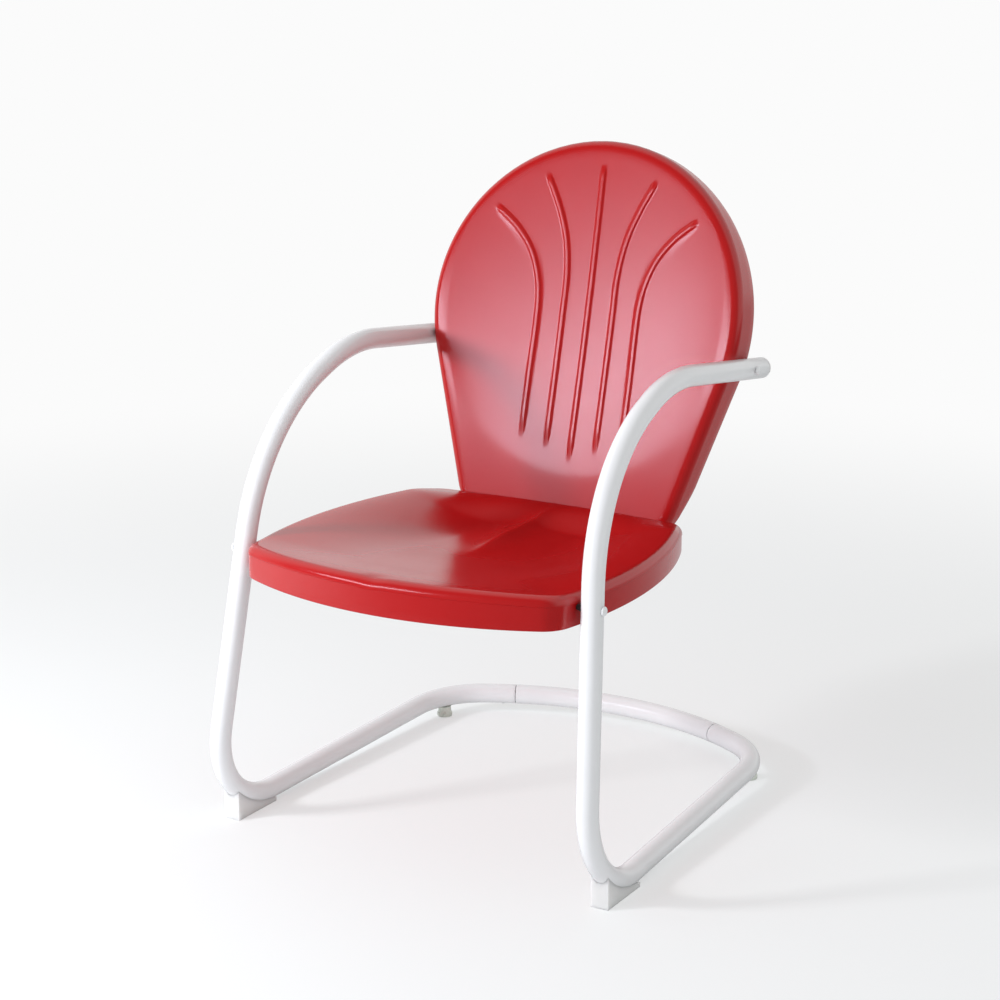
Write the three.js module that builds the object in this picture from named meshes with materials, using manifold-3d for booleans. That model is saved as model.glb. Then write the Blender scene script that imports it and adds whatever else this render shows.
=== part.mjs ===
// Retro metal spring lawn chair: a pressed steel seat and back on a bent tube frame.
// Millimetres, +Z up. The chair faces -Y, and +X is on the right as seen from in front.
// The floor is Z = 0, and the origin is on the floor under the middle of the chair.

import * as THREE from 'three';
import { mergeVertices } from 'three/addons/utils/BufferGeometryUtils.js';
import Module from 'manifold-3d';

const wasm = await Module();
wasm.setup();

// Shared values
const pieceGap = 0.3;
const cutOverrun = 5;
const roundSides = 12;

// Frame tube, walked from the middle of the rear tube to the end of an arm
const tubeDiameter = 28;
const tubeWall = 1.5;
const tubeStep = 34;
const tightStep = 17;
const rearTubeReach = 324.5;
const rearTubeHeight = 29.5;
const bowRadius = 415.8;
const bowDeg = 29.9;
const cornerRadius = 112;
const railLength = 352.4;
const railToeDeg = 2.1;
const railSlopeDeg = 1.8;
const springBendRadius = 104.6;
const legLength = 262.8;
const legBackDeg = 9.2;
const legInDeg = 4;
const armBendRadius = 242;
const armMidLength = 13.4;
const armMidRiseDeg = 21.9;
const armMidInDeg = 1.5;
const armLength = 193.3;
const armDropDeg = 7;
const armFlareDeg = 1.7;

// Cuts of the frame tube into its pieces
const seamAcross = 162.6;
const bendEndRun = 15;
const swageLength = 40;
const swageClearance = 0.7;
const swageWall = 1.5;

// Bolts, nuts and screws
const boltDiameter = 6;
const boltHoleDiameter = 6.8;
const boltHeadDiameter = 12;
const boltHeadHeight = 4;
const boltTail = 2.5;
const nutAcrossFlats = 10;
const nutHeight = 4.5;
const screwDiameter = 4;
const screwHoleDiameter = 4.8;
const screwHeadDiameter = 8;
const screwHeadHeight = 2.4;
const seatBoltBelowBend = 23.7;
const armBoltFromEnd = 40;
const spacerDiameter = 14;
const spacerThickness = 2.2;

// Arm end caps
const capDomeHeight = 9;
const capPlugLength = 14;
const capPlugClearance = 0.8;

// Front feet and rear bumpers
const footWidth = 24;
const footLength = 84;
const footWrap = 6;
const pegDiameter = 8;
const pegLength = 6;
const pegClearance = 0.4;
const bumperDiameter = 22.5;
const bumperWaist = 19;
const bumperAcrossShare = 0.53;

// Pressed sheet of both shells
const sheetThickness = 1.2;

// Back shell, in its own frame: u across, v up the back, n out of its face
const backLeanDeg = 13.1;
const armBoltUp = 82;
const armBoltForward = 13;
const backCentreUp = 132.6;
const backTaperDeg = 17;
const backFootDrop = 9.3;
const backFootCorner = 60;
const backBowRadius = 1288;
const backCreaseForward = 4.3;
const backRounding = 13;
const backRearEdge = -13;
const backFlangeFade = 90;
const backFootForward = 2.7;
const dishDepth = 3;
const dishRadius = 183;
const dishCentreUp = 110;
const dishSoftness = 30;
const ribWidth = 11;
const ribHeight = 3;
const ribStep = 36;
const ribEnd = 12;

// Seat shell
const seatBoltRise = 23.4;
const seatFrontReach = 94.2;
const seatFrontRadius = 480;
const seatFrontCorner = 42;
const seatSideRadius = 600;
const seatWidestBack = 208;
const seatRearCorner = 38;
const seatRounding = 12;
const seatRearRounding = 5;
const seatBackClearance = 0.8;
const sideRimHeight = 40;
const frontRimHeight = 46.5;
const rearRimHeight = 31;
const frontRise = 110;
const rearFall = 75;
const bucketDepth = 26;
const frontShelf = 14;
const bucketSlope = 300;
const lipSlope = 52;
const ridgeHeight = 12.5;
const ridgeHalfWidth = 22;
const ridgeStart = 215;
const ridgeRun = 110;
const bucketFloorShare = 0.3;
const bucketFlankShare = 0.68;
const seatHub = 278;

// Seat to back bolts
const backBoltInset = 1.8;
const backBoltRise = 21;

const tubeRadius = tubeDiameter / 2;
const boreRadius = tubeRadius - tubeWall;
const sides = { right: 1, left: -1 };
const across = new THREE.Vector3(1, 0, 0);

// Ease from 0 to 1 as t goes from 0 to 1
function ease(t) {
  return THREE.MathUtils.smoothstep(t, 0, 1);
}

// Closed solids for joining and cutting
function solidOf(geometry) {
  const bare = geometry.clone();
  bare.deleteAttribute('normal');
  bare.deleteAttribute('uv');
  const merged = mergeVertices(bare);
  const vertProperties = new Float32Array(merged.attributes.position.array);
  const triVerts = new Uint32Array(merged.index.array);
  return new wasm.Manifold(new wasm.Mesh({ numProp: 3, vertProperties, triVerts }));
}

function geometryOf(solid) {
  const { vertProperties, triVerts } = solid.getMesh();
  const geometry = new THREE.BufferGeometry();
  geometry.setAttribute('position', new THREE.BufferAttribute(vertProperties, 3));
  geometry.setIndex(new THREE.BufferAttribute(triVerts, 1));
  geometry.computeVertexNormals();
  return geometry;
}

function withoutAll(geometry, cutters) {
  return geometryOf(cutters.reduce((left, cutter) => left.subtract(solidOf(cutter)), solidOf(geometry)));
}

// A turned shape from its profile of [radius, along] points, placed with its axis along a way
function turned(profile, place, way, segments = roundSides) {
  const points = profile.map(([radius, along]) => new THREE.Vector2(radius, along));
  const geometry = new THREE.LatheGeometry(points, segments);
  const turn = new THREE.Quaternion().setFromUnitVectors(new THREE.Vector3(0, 1, 0), way);
  return geometry.applyQuaternion(turn).translate(place.x, place.y, place.z);
}

function rod(diameter, length, place, way) {
  return turned([[0, 0], [diameter / 2, 0], [diameter / 2, length], [0, length]], place, way);
}

// A bent tube's centre line: straight runs in given ways, joined by round bends
class BentLine {
  constructor(start, runs) {
    this.parts = [];
    this.marks = [];
    this.length = 0;
    let place = start.clone();
    runs.forEach(({ way, length, radius }, index) => {
      this.marks.push(this.length);
      if (length > 0) {
        place = this.add(length, place, (origin) => (s) => origin.clone().addScaledVector(way, s));
      }
      if (radius) {
        place = this.addBend(place, way, runs[index + 1].way, radius);
      }
    });
  }

  add(length, origin, maker) {
    const part = { from: this.length, length, at: maker(origin) };
    this.parts.push(part);
    this.length += length;
    return part.at(length);
  }

  addBend(origin, before, after, radius) {
    const turn = before.angleTo(after);
    const share = radius / Math.sin(turn);
    return this.add(radius * turn, origin, (start) => (s) => {
      const angle = s / radius;
      return start.clone()
        .addScaledVector(before, share * (Math.cos(turn - angle) - Math.cos(turn)))
        .addScaledVector(after, share * (1 - Math.cos(angle)));
    });
  }

  at(s) {
    const part = this.parts.find(({ from, length }) => s <= from + length) ?? this.parts.at(-1);
    return part.at(s - part.from);
  }
}

// One stretch of a bent line, as a curve that a section can be pushed along
class Stretch extends THREE.Curve {
  constructor(line, from, to) {
    super();
    Object.assign(this, { line, from, to });
  }

  getPoint(t) {
    return this.line.at(this.from + (this.to - this.from) * t);
  }
}

// A way given by its angle in the side view, from +Y towards +Z, and its angle out to the side
function wayOf(side, sideDeg, outDeg) {
  const rise = THREE.MathUtils.degToRad(sideDeg);
  const out = THREE.MathUtils.degToRad(outDeg);
  return new THREE.Vector3(
    side * Math.sin(out),
    Math.cos(out) * Math.cos(rise),
    Math.cos(out) * Math.sin(rise),
  );
}

function frameLine(side) {
  const start = new THREE.Vector3(0, rearTubeReach, rearTubeHeight);
  return new BentLine(start, [
    { way: wayOf(side, 180, 90), length: 0, radius: bowRadius },
    { way: wayOf(side, 180, 90 - bowDeg), length: 0, radius: cornerRadius },
    { way: wayOf(side, 180 + railSlopeDeg, railToeDeg), length: railLength, radius: springBendRadius },
    { way: wayOf(side, 90 - legBackDeg, -legInDeg), length: legLength, radius: armBendRadius },
    { way: wayOf(side, armMidRiseDeg, -armMidInDeg), length: armMidLength, radius: armBendRadius },
    { way: wayOf(side, -armDropDeg, armFlareDeg), length: armLength },
  ]);
}

const lines = { right: frameLine(sides.right), left: frameLine(sides.left) };
const [, , railMark, legMark] = lines.right.marks;
const bowLength = bowRadius * THREE.MathUtils.degToRad(bowDeg);
const seamMark = bowRadius * Math.asin(seamAcross / bowRadius);
const bendStartMark = railMark + railLength - bendEndRun;
const bendEndMark = legMark + bendEndRun;
const seatBoltMark = legMark + legLength - seatBoltBelowBend;
const armEndMark = lines.right.length;
const armBoltMark = armEndMark - armBoltFromEnd;

// Tube along a stretch of a frame line
function ringShape(outer, inner) {
  const shape = new THREE.Shape().absarc(0, 0, outer, 0, 2 * Math.PI);
  if (inner) {
    shape.holes.push(new THREE.Path().absarc(0, 0, inner, 0, 2 * Math.PI));
  }
  return shape;
}

function pushed(line, from, to, outer, inner, stepLength = tubeStep) {
  return new THREE.ExtrudeGeometry(ringShape(outer, inner), {
    steps: Math.ceil((to - from) / stepLength),
    curveSegments: roundSides / 2,
    bevelEnabled: false,
    extrudePath: new Stretch(line, from, to),
  });
}

// Bolts through the frame: place on the tube's axis, and the way out to the side
function sideBolt(side, line, mark) {
  return { place: line.at(mark), way: across.clone().multiplyScalar(sides[side]) };
}

function holeAcross({ place, way }, diameter, length) {
  const from = place.clone().addScaledVector(way, -length / 2);
  return rod(diameter, length, from, way);
}

const seatBolts = {
  right: sideBolt('right', lines.right, seatBoltMark),
  left: sideBolt('left', lines.left, seatBoltMark),
};
const armBolts = {
  right: sideBolt('right', lines.right, armBoltMark),
  left: sideBolt('left', lines.left, armBoltMark),
};
const throughTube = tubeDiameter + 2 * cutOverrun;
const headOut = tubeRadius + pieceGap + (spacerDiameter / 2) * Math.tan(THREE.MathUtils.degToRad(legInDeg));

// Leg, arm bend and arm of one side
function armLegTube(side) {
  const tube = pushed(lines[side], bendEndMark + pieceGap, armEndMark, tubeRadius, boreRadius);
  return withoutAll(tube, [
    holeAcross(seatBolts[side], boltHoleDiameter, throughTube),
    holeAcross(armBolts[side], boltHoleDiameter, throughTube),
  ]);
}

// Lower front bend of one side, with the hole for the foot's peg
const pegMark = bendStartMark + bendEndRun + footLength / 2;

function springBend(side) {
  const bend = pushed(lines[side], bendStartMark + pieceGap, bendEndMark, tubeRadius, boreRadius, tightStep);
  const place = lines[side].at(pegMark);
  const down = new THREE.Vector3(0, 0, -1);
  return withoutAll(bend, [rod(pegDiameter + 2 * pegClearance, tubeDiameter, place, down)]);
}

// Floor rail and rear corner of one side, open for the swaged end, its screw and the bumper's peg
const bumperMark = bowLength + (railMark - bowLength) * bumperAcrossShare;
const screwMark = seamMark + swageLength / 2;

function floorRail(side) {
  const line = lines[side];
  const step = (tubeStep + tightStep) / 2;
  const rail = pushed(line, seamMark + pieceGap, bendStartMark, tubeRadius, boreRadius, step);
  const down = new THREE.Vector3(0, 0, -1);
  return withoutAll(rail, [
    rod(pegDiameter + 2 * pegClearance, tubeDiameter, line.at(bumperMark), down),
    rod(screwHoleDiameter, tubeDiameter, line.at(screwMark), down),
  ]);
}

// Rear cross tube: bowed, with both ends drawn down to slip into the side tubes
function rearCrossTube() {
  const neckRadius = boreRadius - swageClearance;
  const neckBore = neckRadius - swageWall;
  const halves = Object.keys(sides).map((side) => {
    const line = lines[side];
    const body = solidOf(pushed(line, 0, seamMark, tubeRadius));
    const neck = solidOf(pushed(line, 0, seamMark + swageLength, neckRadius));
    return body.add(neck);
  });
  const whole = halves[0].add(halves[1]);
  const bores = Object.keys(sides).map((side) => {
    return solidOf(pushed(lines[side], 0, seamMark + swageLength + cutOverrun, neckBore));
  });
  const down = new THREE.Vector3(0, 0, -1);
  const screwHoles = Object.keys(sides).map((side) => {
    return solidOf(rod(screwHoleDiameter, tubeDiameter, lines[side].at(screwMark), down));
  });
  return geometryOf([...bores, ...screwHoles].reduce((left, cutter) => left.subtract(cutter), whole));
}

// Screw from below through a rail and the drawn-down end inside it
function seamScrew(side) {
  const place = lines[side].at(screwMark);
  place.z -= tubeRadius + pieceGap;
  const grip = tubeWall + swageClearance + swageWall + boltTail;
  const head = screwHeadDiameter / 2;
  return turned([
    [0, -screwHeadHeight],
    [head / 2, -screwHeadHeight],
    [head, -screwHeadHeight / 2],
    [head, 0],
    [screwDiameter / 2, 0],
    [screwDiameter / 2, grip],
    [0, grip],
  ], place, new THREE.Vector3(0, 0, 1));
}

// Wedge foot: a block under the lower front bend, hollowed to hug the tube, with a peg
function frontFoot(side) {
  const line = lines[side];
  const railEnd = line.at(railMark + railLength);
  const footRear = railEnd.y;
  const footFront = footRear - footLength;
  const arcCentre = railEnd.z + springBendRadius;
  const profile = new THREE.Shape();
  profile.moveTo(footRear, 0);
  profile.lineTo(footRear, railEnd.z - tubeRadius + footWrap);
  const hollowRadius = springBendRadius + tubeRadius - footWrap;
  const frontAngle = -Math.PI + Math.acos(footLength / hollowRadius);
  profile.absarc(footRear, arcCentre, hollowRadius, -Math.PI / 2, frontAngle, true);
  profile.lineTo(footFront, 0);
  profile.closePath();
  const block = new THREE.ExtrudeGeometry(profile, {
    depth: footWidth,
    bevelEnabled: false,
    curveSegments: roundSides / 2,
  });
  block.applyMatrix4(new THREE.Matrix4().makeBasis(
    new THREE.Vector3(0, 1, 0),
    new THREE.Vector3(0, 0, 1),
    new THREE.Vector3(1, 0, 0),
  ));
  const middle = line.at(pegMark);
  block.translate(middle.x - footWidth / 2, 0, 0);
  const tubeRoom = pushed(line, bendStartMark, bendEndMark, tubeRadius + pieceGap, 0, tightStep);
  const body = solidOf(block).subtract(solidOf(tubeRoom));
  const pegTop = middle.clone();
  const radial = Math.cos(Math.asin((footRear - middle.y) / springBendRadius));
  pegTop.z -= tubeRadius / radial + pegLength / 2;
  const peg = rod(pegDiameter, pegLength + tubeWall + cutOverrun, pegTop, new THREE.Vector3(0, 0, 1));
  return geometryOf(body.add(solidOf(peg)));
}

// Rear bumper: a waisted pad under the rear corner, with a peg up into the tube
function rearBumper(side) {
  const place = lines[side].at(bumperMark);
  const top = place.z - tubeRadius - pieceGap;
  const pad = bumperDiameter / 2;
  place.z = 0;
  return turned([
    [0, 0],
    [pad, 0],
    [pad, top / 3],
    [bumperWaist / 2, top / 2],
    [bumperWaist / 2, top],
    [pegDiameter / 2, top],
    [pegDiameter / 2, top + tubeWall + pegLength],
    [0, top + tubeWall + pegLength],
  ], place, new THREE.Vector3(0, 0, 1));
}

// Cap in the rear end of an arm: a dome with a plug in the tube's bore
function armEndCap(side) {
  const line = lines[side];
  const end = line.at(armEndMark);
  const way = end.clone().sub(line.at(armEndMark - tubeRadius)).normalize();
  const dome = [];
  const domeSteps = 4;
  for (let step = 0; step <= domeSteps; step += 1) {
    const angle = (Math.PI / 2) * (step / domeSteps);
    dome.push([tubeRadius * Math.cos(angle), pieceGap + capDomeHeight * Math.sin(angle)]);
  }
  dome[domeSteps][0] = 0;
  const plug = boreRadius - capPlugClearance;
  return turned([[0, -capPlugLength], [plug, -capPlugLength], [plug, pieceGap], ...dome], end, way);
}

// Dome-headed bolt: head outside, grip through to the nut
function domeBolt(place, way, grip) {
  const head = boltHeadDiameter / 2;
  const shank = boltDiameter / 2;
  const tail = grip + pieceGap + nutHeight + boltTail;
  return turned([
    [0, boltHeadHeight],
    [head / 2, boltHeadHeight - boltHeadHeight / 6],
    [head - head / 6, boltHeadHeight / 2],
    [head, 0],
    [shank, 0],
    [shank, -tail],
    [0, -tail],
  ].reverse(), place, way);
}

function hexNut(place, way) {
  const corner = nutAcrossFlats / Math.sqrt(3);
  const shape = new THREE.Shape();
  for (let index = 0; index < 6; index += 1) {
    const angle = (index * Math.PI) / 3;
    const point = [corner * Math.cos(angle), corner * Math.sin(angle)];
    if (index) shape.lineTo(...point);
    else shape.moveTo(...point);
  }
  shape.closePath();
  shape.holes.push(new THREE.Path().absarc(0, 0, boltDiameter / 2 + pieceGap, 0, 2 * Math.PI));
  const nut = new THREE.ExtrudeGeometry(shape, {
    depth: nutHeight,
    bevelEnabled: false,
    curveSegments: roundSides / 2,
  });
  const turn = new THREE.Quaternion().setFromUnitVectors(new THREE.Vector3(0, 0, 1), way);
  return nut.applyQuaternion(turn).translate(place.x, place.y, place.z);
}

function spacerRing(place, way) {
  const inner = boltDiameter / 2 + pieceGap;
  const outer = spacerDiameter / 2;
  const ring = [[inner, 0], [outer, 0], [outer, spacerThickness], [inner, spacerThickness], [inner, 0]];
  return turned(ring, place, way);
}

// A pressed sheet from closed rings of points, the outer edge first, closed by its middle point
function sheetSolid(rings, middle) {
  const count = rings[0].length;
  const outer = [...rings.flat(), middle];
  const faces = [];
  for (let ring = 0; ring < rings.length - 1; ring += 1) {
    for (let index = 0; index < count; index += 1) {
      const next = (index + 1) % count;
      const a = ring * count + index;
      const b = ring * count + next;
      const c = a + count;
      const d = b + count;
      faces.push([a, b, d], [a, d, c]);
    }
  }
  const lastRing = (rings.length - 1) * count;
  for (let index = 0; index < count; index += 1) {
    faces.push([lastRing + index, lastRing + ((index + 1) % count), outer.length - 1]);
  }
  const skin = new THREE.BufferGeometry().setFromPoints(outer);
  skin.setIndex(faces.flat());
  skin.computeVertexNormals();
  const inner = outer.map((point, index) => {
    const normal = new THREE.Vector3().fromBufferAttribute(skin.attributes.normal, index);
    return point.clone().addScaledVector(normal, -sheetThickness);
  });
  const back = faces.map(([a, b, c]) => [a, c, b].map((corner) => corner + outer.length));
  const edge = [];
  for (let index = 0; index < count; index += 1) {
    const next = (index + 1) % count;
    edge.push([index, index + outer.length, next + outer.length], [index, next + outer.length, next]);
  }
  const solid = new THREE.BufferGeometry().setFromPoints([...outer, ...inner]);
  solid.setIndex([...faces, ...back, ...edge].flat());
  return solid;
}

// Points on an arc, from one angle to another, ends included
function arcPoints(x, y, radius, from, to, count) {
  return Array.from({ length: count }, (_, index) => {
    const angle = from + ((to - from) * index) / (count - 1);
    return [x + radius * Math.cos(angle), y + radius * Math.sin(angle)];
  });
}

// Centre of an arc that touches two larger arcs from inside, on the side of +X
function touchingCentre(first, second, radius, upper) {
  const reachFirst = first.radius - radius;
  const reachSecond = second.radius - radius;
  const gapX = second.x - first.x;
  const gapY = second.y - first.y;
  const span = Math.hypot(gapX, gapY);
  const along = (reachFirst ** 2 - reachSecond ** 2 + span ** 2) / (2 * span);
  const off = Math.sqrt(reachFirst ** 2 - along ** 2);
  const options = [1, -1].map((sign) => [
    first.x + (gapX * along) / span + (sign * off * gapY) / span,
    first.y + (gapY * along) / span - (sign * off * gapX) / span,
  ]);
  return options.find(([x, y]) => x > 0 && (upper ? y > second.y : y < first.y)) ?? options[0];
}

const angleOf = (from, to) => Math.atan2(to[1] - from.y, to[0] - from.x);

// Right half of an outline, mirrored to a closed loop of the same points
function mirroredLoop(half) {
  return [...half, ...half.slice(1, -1).reverse().map(([x, y]) => [-x, y])];
}

// Frame of the back shell, hung from the arm bolts
const lean = THREE.MathUtils.degToRad(backLeanDeg);
const backUp = new THREE.Vector3(0, Math.sin(lean), Math.cos(lean));
const backOut = new THREE.Vector3(0, -Math.cos(lean), Math.sin(lean));
const backOrigin = armBolts.right.place.clone()
  .addScaledVector(backUp, -armBoltUp)
  .addScaledVector(backOut, -armBoltForward)
  .setX(0);
const armBoltAcross = armBolts.right.place.x;
const backRadius = Math.hypot(armBoltAcross, backCentreUp - armBoltUp) - tubeRadius - pieceGap;
const backHalfAtBolt = Math.sqrt(backRadius ** 2 - (backCentreUp - armBoltUp) ** 2);
const seatBottom = seatBolts.right.place.z - seatBoltRise;
const backFoot = (seatBottom - backFootDrop - backOrigin.z) / Math.cos(lean);
const backArcSteps = 12;
const backArcStepTurn = (Math.PI / 2 + THREE.MathUtils.degToRad(backTaperDeg)) / backArcSteps;
const backChordSag = backRadius * (1 - Math.cos(backArcStepTurn / 2));

function backPoint(u, v, n) {
  return backOrigin.clone()
    .addScaledVector(backUp, v)
    .addScaledVector(backOut, n)
    .setX(u);
}

function creaseForward(u) {
  return backCreaseForward + u ** 2 / (2 * backBowRadius);
}

function faceForward(u, v) {
  const down = (backCentreUp + backRadius - v) / (backCentreUp + backRadius - backFoot);
  const dish = 1 - ease((Math.hypot(u, v - dishCentreUp) - dishRadius) / dishSoftness);
  return creaseForward(u) + backRounding + backFootForward * down - dishDepth * dish;
}

// Outline of the back, drawn in by an inset: round top, tapering sides, round lower corners
const taper = THREE.MathUtils.degToRad(backTaperDeg);
const cornerUp = backFoot + backFootCorner;
const sideAtCorner = (backRadius + (cornerUp - backCentreUp) * Math.sin(taper)) / Math.cos(taper);
const cornerAcross = sideAtCorner - backFootCorner / Math.cos(taper);

function backOutline(inset) {
  const radius = backRadius - inset;
  const corner = backFootCorner - inset;
  const foot = backFoot + inset;
  const top = arcPoints(0, backCentreUp, radius, Math.PI / 2, -taper, backArcSteps + 1);
  const low = arcPoints(cornerAcross, cornerUp, corner, -taper, -Math.PI / 2, 4);
  const [fromU, fromV] = top.at(-1);
  const [toU, toV] = low[0];
  const runShares = [0.35, 0.7];
  const run = runShares.map((share) => [fromU + (toU - fromU) * share, fromV + (toV - fromV) * share]);
  return mirroredLoop([...top, ...run, ...low, [cornerAcross / 2, foot], [0, foot]]).reverse();
}

// Solid bead along a rib, sunk through the sheet, its ends let down to the face
function ribSolid(points) {
  const curve = new THREE.CatmullRomCurve3(points.map(([u, v]) => new THREE.Vector3(u, v, 0)));
  const steps = Math.ceil(curve.getLength() / ribStep);
  const sectionShares = [[-1, 0], [-0.55, 0.75], [0, 1], [0.55, 0.75], [1, 0]];
  const sink = 2 * sheetThickness;
  const stations = [0, ribEnd / curve.getLength()];
  for (let step = 1; step < steps; step += 1) stations.push(step / steps);
  stations.push(1 - ribEnd / curve.getLength(), 1);
  const rings = stations.map((t, index) => {
    const centre = curve.getPointAt(t);
    const tangent = curve.getTangentAt(t);
    const atEnd = index === 0 || index === stations.length - 1;
    const lift = atEnd ? 0 : ribHeight;
    const half = atEnd ? ribWidth / 4 : ribWidth / 2;
    return sectionShares.map(([acrossShare, liftShare]) => {
      const u = centre.x - tangent.y * half * acrossShare;
      const v = centre.y + tangent.x * half * acrossShare;
      const rise = liftShare ? liftShare * lift - (atEnd ? sheetThickness / 2 : 0) : -sink;
      return backPoint(u, v, faceForward(u, v) + rise);
    });
  });
  const count = sectionShares.length;
  const faces = [];
  for (let ring = 0; ring < rings.length - 1; ring += 1) {
    for (let index = 0; index < count; index += 1) {
      const a = ring * count + index;
      const b = ring * count + ((index + 1) % count);
      faces.push([a, b + count, b], [a, a + count, b + count]);
    }
  }
  const last = (rings.length - 1) * count;
  for (let index = 1; index < count - 1; index += 1) {
    faces.push([0, index, index + 1], [last, last + index + 1, last + index]);
  }
  const geometry = new THREE.BufferGeometry().setFromPoints(rings.flat());
  geometry.setIndex(faces.flat());
  return solidOf(geometry);
}

// Ribs as shares of the back's radius, measured from the middle of its round top
const outerRibShares = [
  [0.653, 0.572], [0.511, 0.462], [0.41, 0.336], [0.353, 0.196], [0.33, 0.06], [0.33, -0.4], [0.33, -0.77],
];
const innerRibShares = [
  [0.353, 0.777], [0.268, 0.617], [0.2, 0.439], [0.165, 0.226], [0.163, -0.01], [0.163, -0.4], [0.163, -0.81],
];
const middleRibShares = [[0, 0.85], [0, 0.4], [0, -0.3], [0, -0.87]];

function ribPoints(shares, side) {
  return shares.map(([u, v]) => [side * u * backRadius, backCentreUp + v * backRadius]);
}

// Three bolts through the seat's rear flange and the foot of the back
const backBoltUp = backFoot + backBoltRise;
const backBoltSpread = cornerAcross - backBoltInset;
const backBoltSpots = { left: -backBoltSpread, centre: 0, right: backBoltSpread };

// Each stands square to the bowed face at its own spot
function backBolt(spot) {
  const u = backBoltSpots[spot];
  const way = backOut.clone().addScaledVector(across, -u / backBowRadius).normalize();
  return { place: backPoint(u, backBoltUp, faceForward(u, backBoltUp)), way };
}

function backBoltHoles() {
  return Object.keys(backBoltSpots).map((spot) => {
    return holeAcross(backBolt(spot), boltHoleDiameter, 2 * cutOverrun);
  });
}

function backShell() {
  const levelShares = [0.91, 0.8, 0.5];
  const edge = backOutline(0).map(([u, v]) => {
    const fade = ease((backFoot + backFlangeFade - v) / backFlangeFade);
    const deep = backRearEdge + (creaseForward(u) - backRounding / 2 - backRearEdge) * fade;
    return backPoint(u, v, deep);
  });
  const rings = [edge];
  const roundingDeg = [0, 45];
  roundingDeg.forEach((degrees) => {
    const angle = THREE.MathUtils.degToRad(degrees);
    const inset = backRounding * (1 - Math.cos(angle));
    rings.push(backOutline(inset).map(([u, v]) => {
      const start = faceForward(u, v) - backRounding;
      return backPoint(u, v, start + backRounding * Math.sin(angle));
    }));
  });
  const rim = backOutline(backRounding);
  [1, ...levelShares].forEach((share) => {
    rings.push(rim.map(([u, v]) => {
      const [faceU, faceV] = [u * share, backCentreUp + (v - backCentreUp) * share];
      return backPoint(faceU, faceV, faceForward(faceU, faceV));
    }));
  });
  const middle = backPoint(0, backCentreUp, faceForward(0, backCentreUp));
  const ribs = [
    ribSolid(ribPoints(middleRibShares, 1)),
    ...Object.values(sides).flatMap((side) => [
      ribSolid(ribPoints(outerRibShares, side)),
      ribSolid(ribPoints(innerRibShares, side)),
    ]),
  ];
  const ribbed = ribs.reduce((whole, rib) => whole.add(rib), solidOf(sheetSolid(rings, middle)));
  const sideHoles = Object.keys(sides).map((side) => {
    return holeAcross(armBolts[side], boltHoleDiameter, tubeDiameter + 4 * cutOverrun);
  });
  return withoutAll(geometryOf(ribbed), [...sideHoles, ...backBoltHoles()]);
}

// Seat shell: carried by the seat bolts, its rear edge just in front of the back's face
const seatBolt = seatBolts.right.place;
const seatFront = seatBolt.y - seatFrontReach;
const widestY = seatFront + seatWidestBack;
const skirtSlope = Math.tan(Math.asin((widestY - seatBolt.y) / seatSideRadius));
const spacerRoom = (spacerDiameter / 2) * skirtSlope;
const seatContact = seatBolt.x - headOut - pieceGap - spacerThickness - spacerRoom;
const seatSideX = seatContact - Math.sqrt(seatSideRadius ** 2 - (seatBolt.y - widestY) ** 2);
const rearLip = seatBottom + rearRimHeight;

// Y of the back's face at a height, in the middle of the chair
function backFaceY(z) {
  const v = (z - backOrigin.z) / Math.cos(lean);
  const n = faceForward(0, v);
  const rise = (z - backOrigin.z - n * Math.sin(lean)) / Math.cos(lean);
  return backPoint(0, rise, n).y;
}

const seatRear = backFaceY(rearLip - seatRearRounding) - seatBackClearance;
const seatRearRadius = backBowRadius;
const seatArcs = {
  front: { x: 0, y: seatFront + seatFrontRadius, radius: seatFrontRadius },
  side: { x: seatSideX, y: widestY, radius: seatSideRadius },
  rear: { x: 0, y: seatRear - seatRearRadius, radius: seatRearRadius },
};
const frontCorner = touchingCentre(seatArcs.front, seatArcs.side, seatFrontCorner, false);
const rearCorner = touchingCentre(seatArcs.side, seatArcs.rear, seatRearCorner, true);
const frontTurn = angleOf(seatArcs.front, frontCorner);
const sideTurn = angleOf(seatArcs.side, frontCorner);
const sideEnd = angleOf(seatArcs.side, rearCorner);
const rearTurn = angleOf(seatArcs.rear, rearCorner);
const seatSideSteps = 7;
const skirtChordSag = seatSideRadius * (1 - Math.cos((sideEnd - sideTurn) / (2 * seatSideSteps)));

// Outline of the seat, drawn in by an inset at the front and sides and another at the rear
function seatOutline(inset, rearInset) {
  const { front, side, rear } = seatArcs;
  const [cornerX, cornerY] = rearCorner;
  const half = [
    ...arcPoints(front.x, front.y, front.radius - inset, -Math.PI / 2, frontTurn, 6),
    ...arcPoints(...frontCorner, seatFrontCorner - inset, frontTurn, sideTurn, 6).slice(1),
    ...arcPoints(side.x, side.y, side.radius - inset, sideTurn, sideEnd, seatSideSteps + 1).slice(1),
    ...arcPoints(cornerX, cornerY, seatRearCorner - inset, sideEnd, rearTurn, 5).slice(1),
  ];
  const lipShares = [0.72, 0.45, 0.25, 0.12, 0.05, 0];
  lipShares.forEach((share) => {
    const angle = Math.PI / 2 + (rearTurn - Math.PI / 2) * share;
    const radius = rear.radius - inset;
    half.push([rear.x + radius * Math.cos(angle), rear.y + radius * Math.sin(angle)]);
  });
  return mirroredLoop(half).map(([x, y]) => [x, y + (inset - rearInset) * rearShare(y)]);
}

// How far a point belongs to the rear edge: 0 at the sides, 1 along the lip
function rearShare(y) {
  return ease((y - rearCorner[1]) / (seatRearCorner / 2));
}

function rimHeight(y) {
  const rise = ease((seatFront + frontRise - y) / frontRise);
  const fall = ease((y - seatRear + rearFall) / rearFall);
  return sideRimHeight + (frontRimHeight - sideRimHeight) * rise - (sideRimHeight - rearRimHeight) * fall;
}

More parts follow.
